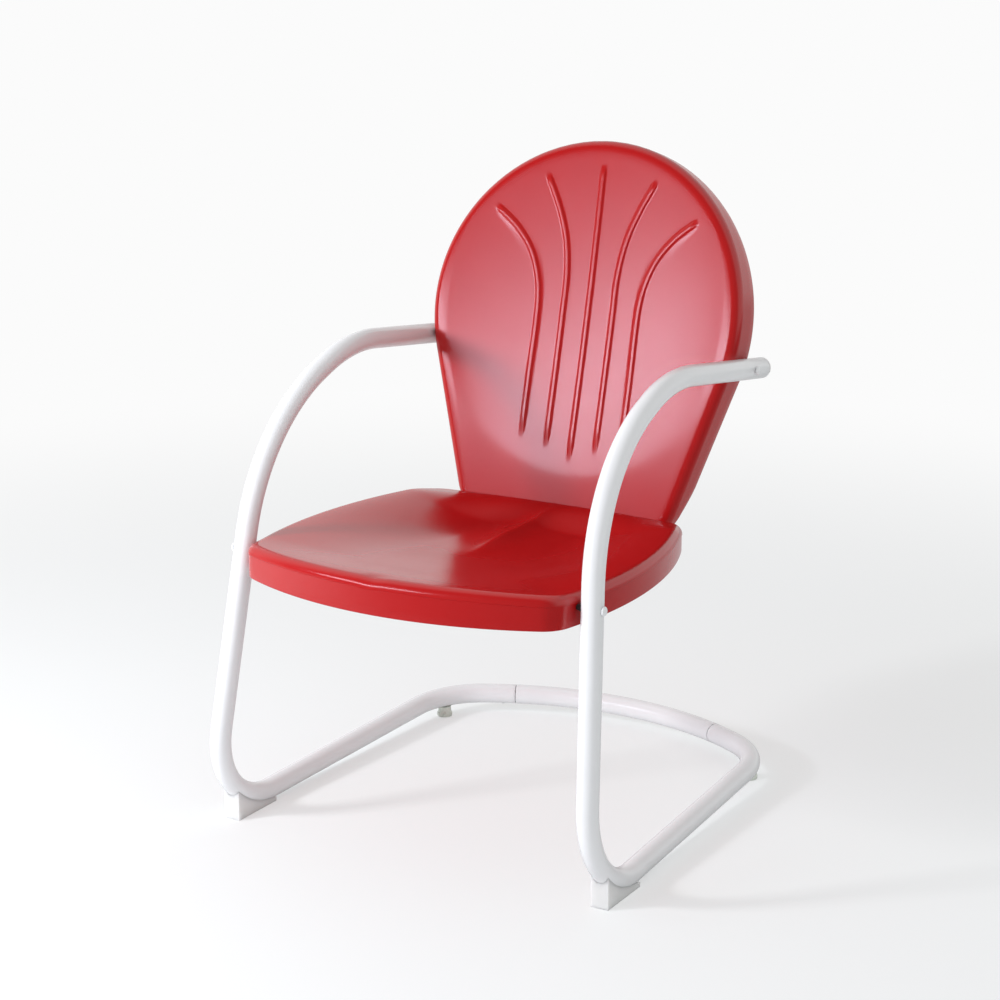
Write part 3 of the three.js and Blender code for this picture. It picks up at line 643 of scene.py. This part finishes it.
foot_half = np.array([[0, foot_up, 0, -1], [corner_across, foot_up, 0, -1]])
corner_low = arc((corner_across, corner_up), face_corner, -math.pi / 2, corner_split)
corner_high = arc((corner_across, corner_up), face_corner, corner_split, -back_taper)
round_side = arc((0, back_centre_up), face_radius, -back_taper, top_split)
round_top = arc((0, back_centre_up), face_radius, top_split, math.pi / 2)

foot_right = np.vstack([foot_half, corner_low])
side_right = Path(np.vstack([corner_high, round_side]))
side_left = Path(mirrored(side_right.rows))
foot_line = Path(np.vstack([mirrored(foot_right)[::-1], foot_right]))
top_line = Path(np.vstack([mirrored(round_top), round_top[::-1]]))

# ribs on the right, from the foot up, as shares of the back's radius from the top's centre
outer_rib_shares = [(0.33, -0.77), (0.33, -0.4), (0.33, 0.06), (0.353, 0.196), (0.41, 0.336),
                    (0.511, 0.462), (0.653, 0.572)]
inner_rib_shares = [(0.163, -0.81), (0.163, -0.4), (0.163, -0.01), (0.165, 0.226), (0.2, 0.439),
                    (0.268, 0.617), (0.353, 0.777)]
middle_rib_shares = [(0, -0.87), (0, -0.3), (0, 0.4), (0, 0.85)]


def rib_points(shares):
    return [(u * back_radius, back_centre_up + v * back_radius) for u, v in shares]


def guide(shares):
    """A rib's line, carried on down to the foot and up to the round top."""
    points = rib_points(shares)
    (u0, v0), (u1, v1) = points[-2:]
    reach = math.hypot(u1, v1 - back_centre_up)
    turn = math.atan2(v1 - back_centre_up, u1)
    lead = math.atan2(v1 - v0, u1 - u0)
    turn -= (turn - lead) * (face_radius - reach) / face_radius / 2
    end = (face_radius * math.cos(turn), back_centre_up + face_radius * math.sin(turn))
    return Path(through([(points[0][0], foot_up), *points, end]))


def mirror_path(path):
    return Path(mirrored(path.rows))


rib_shares = (outer_rib_shares, inner_rib_shares, middle_rib_shares)
outer_rib, inner_rib, middle_rib = [Path(through(rib_points(shares))) for shares in rib_shares]
ribs = [mirror_path(outer_rib), mirror_path(inner_rib), middle_rib, inner_rib, outer_rib]
outer_guide, inner_guide, middle_guide = [guide(shares) for shares in rib_shares]
guides = [side_left, mirror_path(outer_guide), mirror_path(inner_guide), middle_guide,
          inner_guide, outer_guide, side_right]


def crease_forward(u):
    return back_crease_forward + u ** 2 / (2 * back_bow_radius)


def foot_share(v):
    return (back_centre_up + back_radius - v) / (back_centre_up + back_radius - back_foot)


def face_forward(points):
    """How far the face stands out over the plane of the back, ribs and dish included."""
    u, v = points.T
    inside = 1 - (u ** 2 + (v - dish_centre_up) ** 2) / dish_radius ** 2
    dish = (inside + np.hypot(inside, dish_softness_share)) / 2
    out = crease_forward(u) + back_rounding + back_foot_forward * foot_share(v) - dish_depth * dish
    for rib in ribs:
        gap, along = rib.distance(points)
        bead = (1 - np.clip(gap / rib_half_width, 0, 1) ** 4) ** 2
        fade = ease(along / rib_foot_fade) * ease((rib.length - along) / rib_top_fade)
        out = out + rib_height * bead * fade
    return out


def column_shares(width, from_rib, to_rib, count):
    """Shares across a strip: close together beside a rib, even between."""
    close = np.array(rib_columns) / width
    start = np.concatenate([[0], close]) if from_rib else np.array([0])
    end = 1 - np.concatenate([close[::-1], [0]]) if to_rib else np.array([1])
    middle = np.linspace(start[-1], end[0], count + 1)[1:-1]
    return np.concatenate([start, middle, end])


def spots_on(line, ends):
    """Where the guides meet the foot or top line, as shares of its length."""
    spots = [line.distance(end[None, :2])[1][0] / line.length for end in ends]
    return [0, *spots, 1]


def back_grid():
    """Rows of face points from the foot up, in strips between the ribs' lines."""
    foot_spots = spots_on(foot_line, [line.rows[0] for line in guides[1:-1]])
    top_spots = spots_on(top_line, [line.rows[-1] for line in guides[1:-1]])
    rows = []
    for row in range(back_rows + 1):
        along = row / back_rows
        points = []
        for strip, count in enumerate(strip_counts):
            last = strip == len(strip_counts) - 1
            left = guides[strip].at(along)[:2]
            right = guides[strip + 1].at(along)[:2]
            f0, f1 = foot_spots[strip], foot_spots[strip + 1]
            t0, t1 = top_spots[strip], top_spots[strip + 1]
            width = np.hypot(*(right - left))
            shares = column_shares(width, strip > 0, not last, count)
            for share in shares[: None if last else -1]:
                points.append(patch_point(
                    lambda s: foot_line.at(f0 + (f1 - f0) * s)[:2],
                    lambda s: top_line.at(t0 + (t1 - t0) * s)[:2],
                    left, right, share, along,
                ))
        rows.append(points)
    return np.array(rows)


def sheet_from_grid(grid, place_of):
    """A bmesh grid laid on rows of flat points."""
    rows, columns = grid.shape[:2]
    shape = bmesh.new()
    bmesh.ops.create_grid(shape, x_segments=columns - 1, y_segments=rows - 1, size=1)
    shape.verts.ensure_lookup_table()
    for vert, place in zip(shape.verts, place_of(grid.reshape(-1, 2))):
        vert.co = place
    return shape


def back_place(points, forward):
    """Places in the chair of points on the back, given across, up and out of its plane."""
    origin, up, out = (np.array(way) for way in (back_origin, back_up, back_out))
    places = origin + points[:, 1:2] * up + forward[:, None] * out
    places[:, 0] = points[:, 0]
    return places


def spread_rim(shape, rings, place_of):
    """Draw the rim out ring by ring: each rim vertex keeps the flat place that it started from."""
    edges = [edge for edge in shape.edges if edge.is_boundary]
    spot = shape.verts.layers.int.new("spot")
    starts = verts_of(edges)
    for index, vert in enumerate(starts):
        vert[spot] = index
    origins = np.array([vert.co for vert in starts])
    for ring in rings:
        grown = bmesh.ops.extrude_edge_only(shape, edges=edges)["geom"]
        new_verts = [item for item in grown if isinstance(item, bmesh.types.BMVert)]
        known = set(new_verts)
        places = place_of(origins, ring)
        for vert in new_verts:
            vert.co = places[vert[spot]]
        new_edges = [item for item in grown if isinstance(item, bmesh.types.BMEdge)]
        edges = [edge for edge in new_edges if set(edge.verts) <= known]


def outward_ways(points, outline):
    """The outline's own point and outward way nearest to each of these points."""
    gap, along = outline.distance(points)
    rows = np.array([outline.at(spot / outline.length) for spot in along])
    ways = rows[:, 2:4] / np.hypot(*rows[:, 2:4].T)[:, None]
    return rows[:, :2], ways


face_outline = Path(np.vstack([foot_line.rows, side_right.rows, top_line.rows[::-1], side_left.rows[::-1]]))


def edge_outset(kind, step, rounding):
    """How far outside the face a ring of a pressed edge lies, and how far round its bend it is."""
    turn = math.pi / 2 * min(step, 1)
    if kind == "roll":
        return rounding * math.sin(turn), turn
    if kind == "hem":
        drawn = hem_rounding * (1 - math.cos(turn)) + hem_lip * max(step - 1, 0)
        return rounding - crease_step - drawn, turn
    return rounding - crease_step, turn


def back_rim_places(origins, ring):
    """One ring of the rolled edge, the flange and its hem, from the face's own rim."""
    flat = np.stack([origins[:, 0], (origins - np.array(back_origin)) @ np.array(back_up)], 1)
    points, ways = outward_ways(flat, face_outline)
    kind, step = ring
    outset, turn = edge_outset(kind, step, back_rounding)
    u, v = points.T
    crease = crease_forward(u) + back_foot_forward * foot_share(v)
    fade = ease((back_foot + back_flange_fade - v) / back_flange_fade)
    rear = back_rear_edge + (crease - back_rounding / 2 - back_rear_edge) * fade
    if kind == "roll":
        bulge = face_forward(flat) - crease - back_rounding
        forward = crease + back_rounding * math.cos(turn) + bulge * (1 - math.sin(turn))
    elif kind == "flange":
        forward = crease - crease_step + (rear + hem_rounding - crease + crease_step) * step
    else:
        forward = rear + hem_rounding * (1 - math.sin(turn))
    return back_place(points + ways * outset, forward)


def edge_rings(wall):
    """The rings of a pressed edge, in order: the roll, the flange or skirt, and the hem."""
    rings = [("roll", step / roll_steps) for step in range(1, roll_steps + 1)]
    rings += [(wall, share) for share in wall_shares]
    return rings + [("hem", share) for share in hem_shares]


def thicken(piece):
    """Give a pressed skin its sheet thickness, inward from the outer face."""
    wall = piece.modifiers.new("sheet", "SOLIDIFY")
    wall.thickness = sheet_thickness
    wall.offset = -1
    wall.use_even_offset = True
    wall.use_quality_normals = True


shape = sheet_from_grid(back_grid(), lambda points: back_place(points, face_forward(points)))
spread_rim(shape, edge_rings("flange"), back_rim_places)
back = make_piece("back_pressing", shape, red_coat)
thicken(back)
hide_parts("back_shell")
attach(back, "upper")

# Seat shell: one pressed steel sheet, its front bowed and its sides nearly straight, rolled
# over into a skirt, with two shallow dips and a low ridge between them at the rear.
seat_low, seat_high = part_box("seat_shell")
seat_front_radius = 0.480
seat_front_corner = 0.042
seat_side_radius = 0.600
seat_widest_back = 0.208
seat_rear_corner = 0.038
seat_rounding = 0.012
seat_rear_rounding = 0.005
rear_share_start = 0.45
side_rim_height = 0.040
front_rim_height = 0.0465
rear_rim_height = 0.031
front_rise = 0.110
rear_fall = 0.075
bucket_depth = 0.026
front_shelf = 0.014
bucket_slope = 0.300
lip_slope = 0.080
ridge_height = 0.0135
ridge_half_width = 0.018
ridge_crest_softness = 0.003
ridge_start = 0.215
ridge_run = 0.110
bucket_floor_share = 0.3
bucket_flank_share = 0.68
front_ripple_depth = 0.0022
front_ripple_half_width = 0.016
front_ripple_reach = 0.030
seat_rows = 120
seat_columns = 140

seat_front = seat_low.y
seat_rear = seat_high.y
seat_bottom = seat_low.z
seat_half = seat_high.x
widest_y = seat_front + seat_widest_back
side_x = seat_half - seat_side_radius


def touching_centre(first, first_radius, second, second_radius, radius, upper):
    """Centre of an arc that touches two larger arcs from inside, on the right."""
    reach_first = first_radius - radius
    reach_second = second_radius - radius
    gap = Vector(second) - Vector(first)
    span = gap.length
    along = (reach_first ** 2 - reach_second ** 2 + span ** 2) / (2 * span)
    off = math.sqrt(reach_first ** 2 - along ** 2)
    found = None
    for sign in (1, -1):
        x = first[0] + gap.x * along / span + sign * off * gap.y / span
        y = first[1] + gap.y * along / span - sign * off * gap.x / span
        if x > 0 and (y > second[1] if upper else y < first[1]):
            found = found or (x, y)
    return found


front_centre = (0, seat_front + seat_front_radius)
side_centre = (side_x, widest_y)
rear_centre = (0, seat_rear - back_bow_radius)
front_corner = touching_centre(front_centre, seat_front_radius, side_centre, seat_side_radius,
                               seat_front_corner, upper=False)
rear_corner = touching_centre(side_centre, seat_side_radius, rear_centre, back_bow_radius,
                              seat_rear_corner, upper=True)


def turn_between(centre, point):
    return math.atan2(point[1] - centre[1], point[0] - centre[0])


front_turn = turn_between(front_centre, front_corner)
side_turn = turn_between(side_centre, front_corner)
side_end = turn_between(side_centre, rear_corner)
rear_turn = turn_between(rear_centre, rear_corner)
front_split = (front_turn + side_turn) / 2
rear_split = (side_end + rear_turn) / 2

front_half = np.vstack([
    arc(front_centre, seat_front_radius, -math.pi / 2, front_turn),
    arc(front_corner, seat_front_corner, front_turn, front_split, corner_step),
])
side_whole = np.vstack([
    arc(front_corner, seat_front_corner, front_split, side_turn, corner_step),
    arc(side_centre, seat_side_radius, side_turn, side_end),
    arc(rear_corner, seat_rear_corner, side_end, rear_split, corner_step),
])
rear_half = np.vstack([
    arc(rear_corner, seat_rear_corner, rear_split, rear_turn, corner_step),
    arc(rear_centre, back_bow_radius, rear_turn, math.pi / 2),
])


def rear_share(y):
    """How far a place belongs to the rear edge: 0 at the sides, 1 along the lip."""
    return ease(((y - rear_corner[1]) / seat_rear_corner - rear_share_start) / (1 - rear_share_start))


def rounding_at(y):
    return seat_rounding + (seat_rear_rounding - seat_rounding) * rear_share(y)


def drawn_in(rows):
    """The outline's rows drawn in by the rounding: the rim of the pan."""
    rows = rows.copy()
    rows[:, :2] -= rows[:, 2:4] * rounding_at(rows[:, 1])[:, None]
    return rows


pan_front = Path(np.vstack([mirrored(drawn_in(front_half))[::-1], drawn_in(front_half)]))
pan_right = Path(drawn_in(side_whole))
pan_left = Path(mirrored(pan_right.rows))
pan_rear = Path(np.vstack([mirrored(drawn_in(rear_half)), drawn_in(rear_half)[::-1]]))


def rim_height(y):
    rise = (front_rim_height - side_rim_height) * ease((seat_front + front_rise - y) / front_rise)
    fall = (side_rim_height - rear_rim_height) * ease((y - seat_rear + rear_fall) / rear_fall)
    return side_rim_height + rise - fall


def ripple(x, y):
    """The small dimple that the press leaves in the middle of the front edge."""
    near = 1 - ease((y - seat_front) / front_ripple_reach)
    return front_ripple_depth * np.exp(-((x / front_ripple_half_width) ** 2)) * near


def pan_height(points):
    x, y = points.T
    half_width = side_x + np.sqrt(seat_side_radius ** 2 - (y - widest_y) ** 2) - seat_rounding
    lip_y = seat_rear - x ** 2 / (2 * back_bow_radius)
    flank = 1 - ease((np.abs(x) / half_width - bucket_floor_share) / bucket_flank_share)
    slope = ease((y - seat_front - front_shelf) / bucket_slope)
    to_lip = ease((lip_y - y - seat_rear_rounding) / lip_slope)
    crest = np.exp((ridge_crest_softness - np.hypot(x, ridge_crest_softness)) / ridge_half_width)
    ridge = ease((y - seat_front - ridge_start) / ridge_run) * crest
    dip = bucket_depth * flank * slope * to_lip
    return rim_height(y) - dip + ridge_height * ridge * to_lip - ripple(x, y)


def seat_grid():
    rows = []
    for row in range(seat_rows + 1):
        along = row / seat_rows
        left = pan_left.at(along)[:2]
        right = pan_right.at(along)[:2]
        rows.append([
            patch_point(lambda s: pan_front.at(s)[:2], lambda s: pan_rear.at(s)[:2],
                        left, right, column / seat_columns, along)
            for column in range(seat_columns + 1)
        ])
    return np.array(rows)


def seat_place(points):
    return np.column_stack([points, seat_bottom + pan_height(points)])


pan_outline = Path(np.vstack([pan_front.rows, pan_right.rows, pan_rear.rows[::-1], pan_left.rows[::-1]]))


def seat_rim_places(origins, ring):
    """One ring of the rolled edge, the skirt and its hem, from the pan's own rim."""
    kind, step = ring
    points, ways = outward_ways(origins[:, :2], pan_outline)
    x, y = points.T
    rounding = rounding_at(y + ways[:, 1] * seat_rounding)
    height = seat_bottom + rim_height(y) - ripple(x, y)
    slant = np.tan(back_lean) * rear_share(y + ways[:, 1] * seat_rounding)
    outset, turn = edge_outset(kind, step, rounding)
    if kind == "roll":
        z = height - rounding * (1 - math.cos(turn))
    elif kind == "skirt":
        top = height - rounding - crease_step
        z = top + (seat_bottom + hem_rounding - top) * step
    else:
        z = np.full(len(x), seat_bottom + hem_rounding * (1 - math.sin(turn)))
    flat = points + ways * outset[:, None]
    flat[:, 1] -= slant * np.clip(height - rounding - z, 0, None)
    return np.column_stack([flat, z])


shape = sheet_from_grid(seat_grid(), seat_place)
spread_rim(shape, edge_rings("skirt"), seat_rim_places)
seat = make_piece("seat_pressing", shape, red_coat)
thicken(seat)
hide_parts("seat_shell")
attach(seat, "upper")

# Bolts: domed heads, painted white on the arms and legs, plain zinc where they join the
# seat's rear flange to the foot of the back.
head_radius = 0.006
head_height = 0.004
head_edge = 0.0003
head_wall = 0.0008
head_steps = 8
bolt_steps = 32
shank_radius = 0.003
nut_across_flats = 0.010
nut_height = 0.0045
nut_edge = 0.0005

zinc = grained(
    "zinc_plate", low=(0.52, 0.54, 0.56), high=(0.68, 0.69, 0.70), mottle=(300, 4),
    rough=(0.24, 0.46), rough_grain=(700, 3), grain=(1400, 2), depth=0.00002, Metallic=1.0,
)


def dome_bolt(name, node, place, way, length, material):
    shape = bmesh.new()
    profile = [(0, -length), (shank_radius, -length), (shank_radius, 0), (head_radius - head_edge, 0)]
    profile += [(head_radius, head_edge), (head_radius, head_wall)]
    for step in range(1, head_steps + 1):
        angle = math.pi / 2 * step / head_steps
        rise = head_wall + (head_height - head_wall) * math.sin(angle)
        profile.append((head_radius * math.cos(angle), rise))
    turned(shape, profile, place, way, bolt_steps)
    bolt = make_piece(name, shape, material)
    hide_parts(node)
    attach(bolt, "upper")


def hex_nut(name, node, place, way):
    shape = bmesh.new()
    turn = way.to_track_quat("Z", "Y").to_matrix().to_4x4()
    matrix = Matrix.Translation(place) @ turn
    bmesh.ops.create_circle(
        shape, cap_ends=True, segments=6, radius=nut_across_flats / math.sqrt(3), matrix=matrix
    )
    grown = bmesh.ops.extrude_face_region(shape, geom=shape.faces[:])["geom"]
    moved = [item for item in grown if isinstance(item, bmesh.types.BMVert)]
    bmesh.ops.translate(shape, verts=moved, vec=way * nut_height)
    bmesh.ops.bevel(
        shape, geom=shape.edges[:], offset=nut_edge, segments=2, affect="EDGES", profile=0.5, material=-1
    )
    nut = make_piece(name, shape, zinc)
    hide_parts(node)
    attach(nut, "upper")


def span_of(node):
    """How far a node reaches across the chair, and its middle."""
    low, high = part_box(node)
    return low.x, high.x, (low + high) / 2


for name, side in sides.items():
    outward = Vector((side, 0, 0))
    for joint in ("arm", "seat"):
        low, high, middle = span_of(f"{joint}_bolt_{name}")
        head_foot = (high if side > 0 else -low) - head_height
        place = Vector((side * head_foot, middle.y, middle.z))
        dome_bolt(f"{joint}_screw_{name}", f"{joint}_bolt_{name}", place, outward,
                  high - low - head_height, white_coat)
        low, high, middle = span_of(f"{joint}_nut_{name}")
        place = Vector((low if side > 0 else high, middle.y, middle.z))
        hex_nut(f"{joint}_hex_{name}", f"{joint}_nut_{name}", place, outward)

for name in ("left", "centre", "right"):
    low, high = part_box(f"back_bolt_{name}")
    middle = (low + high) / 2
    way = -back_out.copy()
    way.x = middle.x / back_bow_radius
    way.normalize()
    reach = ((high - low).y / 2 - head_radius * abs(way.z)) / abs(way.y)
    dome_bolt(f"foot_screw_{name}", f"back_bolt_{name}", middle + way * (reach - head_height), way,
              2 * reach - head_height - shank_radius, zinc)
    low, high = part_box(f"back_nut_{name}")
    middle = (low + high) / 2
    hex_nut(f"foot_hex_{name}", f"back_nut_{name}", middle + way * nut_height / 2, -way)

# Spacers and seam screws: small rings with a collar between the legs and the skirt, their zinc coloured
# near black with a red tint as painted shade in the gap and a painted reflection of the red skirt, and zinc
# screws from below that lock the two seams of the rear tube.
spacer_radius = 0.0048
spacer_thickness = 0.0022
spacer_edge = 0.0003
collar_radius = 0.0038
collar_reach = 0.0028
collar_back = 0.0004
skirt_slant = 0.19
screw_radius = 0.00198
screw_head_radius = 0.004
screw_head_flat = 0.0024
screw_head_rise = 0.0002
screw_head_edge = 0.0012
screw_head_height = 0.0024
screw_head_sunk = 0.0017
screw_steps = 24

# painted shade: the spacers' colour is near black with a red tint, standing in for the dark gap beside each
# leg and for the red skirt mirrored in the ring
zinc_tinted_as_painted_shade = grained(
    "zinc_tinted_as_painted_shade", low=(0.045, 0.02, 0.02), high=(0.065, 0.03, 0.03), mottle=(300, 4),
    rough=(0.65, 0.85), rough_grain=(700, 3), grain=(1400, 2), depth=0.00002, Metallic=0.3,
)

for name, side in sides.items():
    low, high, middle = span_of(f"seat_spacer_{name}")
    shape = bmesh.new()
    inner = shank_radius + piece_gap
    collar_end = spacer_thickness + collar_reach
    ring = [(inner, -collar_back), (collar_radius, -collar_back), (collar_radius, 0),
            (spacer_radius - spacer_edge, 0), (spacer_radius, spacer_edge),
            (spacer_radius, spacer_thickness - spacer_edge),
            (spacer_radius - spacer_edge, spacer_thickness), (collar_radius, spacer_thickness),
            (collar_radius, collar_end), (inner, collar_end), (inner, -collar_back)]
    start = Vector((high if side > 0 else low, middle.y, middle.z))
    turned(shape, ring, start, Vector((-side, 0, 0)), turned_steps)
    for vert in shape.verts:
        if abs(vert.co.x - start.x) > spacer_thickness + collar_reach / 2:
            vert.co.x += side * skirt_slant * (vert.co.y - middle.y)
    spacer = make_piece(f"spacer_ring_{name}", shape, zinc_tinted_as_painted_shade)
    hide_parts(f"seat_spacer_{name}")
    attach(spacer, "upper")

    low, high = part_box(f"seam_screw_{name}")
    middle = (low + high) / 2
    shape = bmesh.new()
    start = Vector((middle.x, middle.y, low.z + screw_head_sunk))
    tip = high.z - start.z
    profile = [(0, 0), (screw_head_flat, screw_head_rise), (screw_head_radius, screw_head_edge),
               (screw_head_radius, screw_head_height), (screw_radius, screw_head_height),
               (screw_radius, tip), (0, tip)]
    turned(shape, profile, start, Vector((0, 0, 1)), screw_steps)
    screw = make_piece(f"seam_lock_{name}", shape, zinc)
    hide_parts(f"seam_screw_{name}")
    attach(screw, "base")

# Floor and light: a pale studio floor that runs out to white, a small key light at the left
# front, a low wide light beside it that the back mirrors, and a pale surround whose front half
# is dark in mirrors, as the floor is, so that the red keeps its depth.
floor_half = 14.0
mirror_floor_level = 0.03
mirror_floor_dark = -1.4
mirror_floor_bright = 1.2
floor_white_share = 0.45
background_level = 0.965
floor_white_start = 0.9
floor_white_end = 2.6
surround_level = 0.85
surround_top_level = 0.55
dark_room_level = 0.03
dark_room_start = -0.5

shape = bmesh.new()
bmesh.ops.create_grid(shape, x_segments=1, y_segments=1, size=floor_half)
floor_data = bpy.data.meshes.new("studio_floor")
shape.to_mesh(floor_data)
shape.free()
floor = bpy.data.objects.new("studio_floor", floor_data)
bpy.context.scene.collection.objects.link(floor)

paper = Finish("floor_paper", Roughness=0.9)
paper_tone = paper.blend(paper.noise(3, 2), (0.915, 0.94, 0.943), (0.93, 0.955, 0.958))
floor_by_camera = paper.node("LightPath", {}, {}, "Is Camera Ray")
floor_by_mirror = paper.node("LightPath", {}, {}, "Is Glossy Ray")
across_floor = paper.node("SeparateXYZ", {}, {0: paper.place}, "X")
along_floor = paper.node("SeparateXYZ", {}, {0: paper.place}, "Y")
smooth = {"interpolation_type": "SMOOTHSTEP"}
mirrored_floor = paper.node("MapRange", smooth, {
    "Value": along_floor - across_floor, "From Min": mirror_floor_dark,
    "From Max": mirror_floor_bright, "To Min": mirror_floor_level,
})
paper_tone = paper.node("Mix", {"data_type": "RGBA"}, {
    0: mirrored_floor + (1 - floor_by_mirror), 6: (0, 0, 0, 1), 7: paper_tone,
}, 2)
paper.set("Base Color", paper_tone)
glow = paper.node("Emission", {}, {"Color": (1, 1, 1, 1), "Strength": background_level})
from_middle = paper.node("VectorMath", {"operation": "LENGTH"}, {0: paper.place}, "Value")
fade = paper.node("MapRange", smooth, {
    "Value": from_middle, "From Min": floor_white_start, "From Max": floor_white_end,
    "To Min": floor_white_share,
})
mixed = paper.node("MixShader", {}, {
    0: fade * floor_by_camera, 1: Wire(paper.tree, paper.surface.outputs[0]), 2: glow,
})
paper.tree.links.new(mixed.socket, paper.tree.nodes["Material Output"].inputs["Surface"])
floor_data.materials.append(paper.material)


def soft_light(name, place, target, width, height, radiance, colour, mirrored_too):
    """A rectangular soft light, by the brightness of its face."""
    data = bpy.data.lights.new(name, "AREA")
    data.energy = radiance * math.pi * width * height
    data.color = colour
    data.shape = "RECTANGLE"
    data.size = width
    data.size_y = height
    lamp = bpy.data.objects.new(name, data)
    lamp.location = place
    lamp.rotation_euler = (Vector(place) - Vector(target)).to_track_quat("Z", "Y").to_euler()
    lamp.visible_camera = False
    lamp.visible_glossy = mirrored_too
    bpy.context.scene.collection.objects.link(lamp)


seat_middle = (0, 0, 0.40)
back_middle = (0, 0.2, 0.60)
soft_light("key_light", (-1.36, -1.70, 1.22), seat_middle, width=0.3, height=0.3,
           radiance=96, colour=(1, 1, 1), mirrored_too=False)
soft_light("front_light", (-1.10, -1.88, 1.06), back_middle, width=1.4, height=0.16,
           radiance=22.5, colour=(0.84, 0.85, 1), mirrored_too=True)

world = bpy.data.worlds.new("studio")
bpy.context.scene.world = world
world.use_nodes = True
studio = world.node_tree
surround = studio.nodes["Background"]
surround.inputs["Color"].default_value = (1, 1, 1, 1)
way_seen = add_node(studio, "TexCoord", {}, {}, "Generated")
way_back = add_node(studio, "SeparateXYZ", {}, {0: way_seen}, "Y")
way_up = add_node(studio, "SeparateXYZ", {}, {0: way_seen}, "Z")
by_camera = add_node(studio, "LightPath", {}, {}, "Is Camera Ray")
by_mirror = add_node(studio, "LightPath", {}, {}, "Is Glossy Ray")
by_glass = add_node(studio, "LightPath", {}, {}, "Is Transmission Ray")
mirror_level = add_node(studio, "MapRange", smooth, {
    "Value": way_back, "From Min": dark_room_start, "From Max": 0.0, "To Min": dark_room_level,
})
light_level = add_node(studio, "MapRange", {}, {
    "Value": way_up, "To Min": surround_level, "To Max": surround_top_level,
})
level = by_camera * background_level + (1 - by_camera) * (
    by_mirror * mirror_level + (1 - by_mirror) * (by_glass + (1 - by_glass) * light_level)
)
studio.links.new(level.socket, surround.inputs["Strength"])
bpy.context.scene.view_settings.view_transform = "Standard"
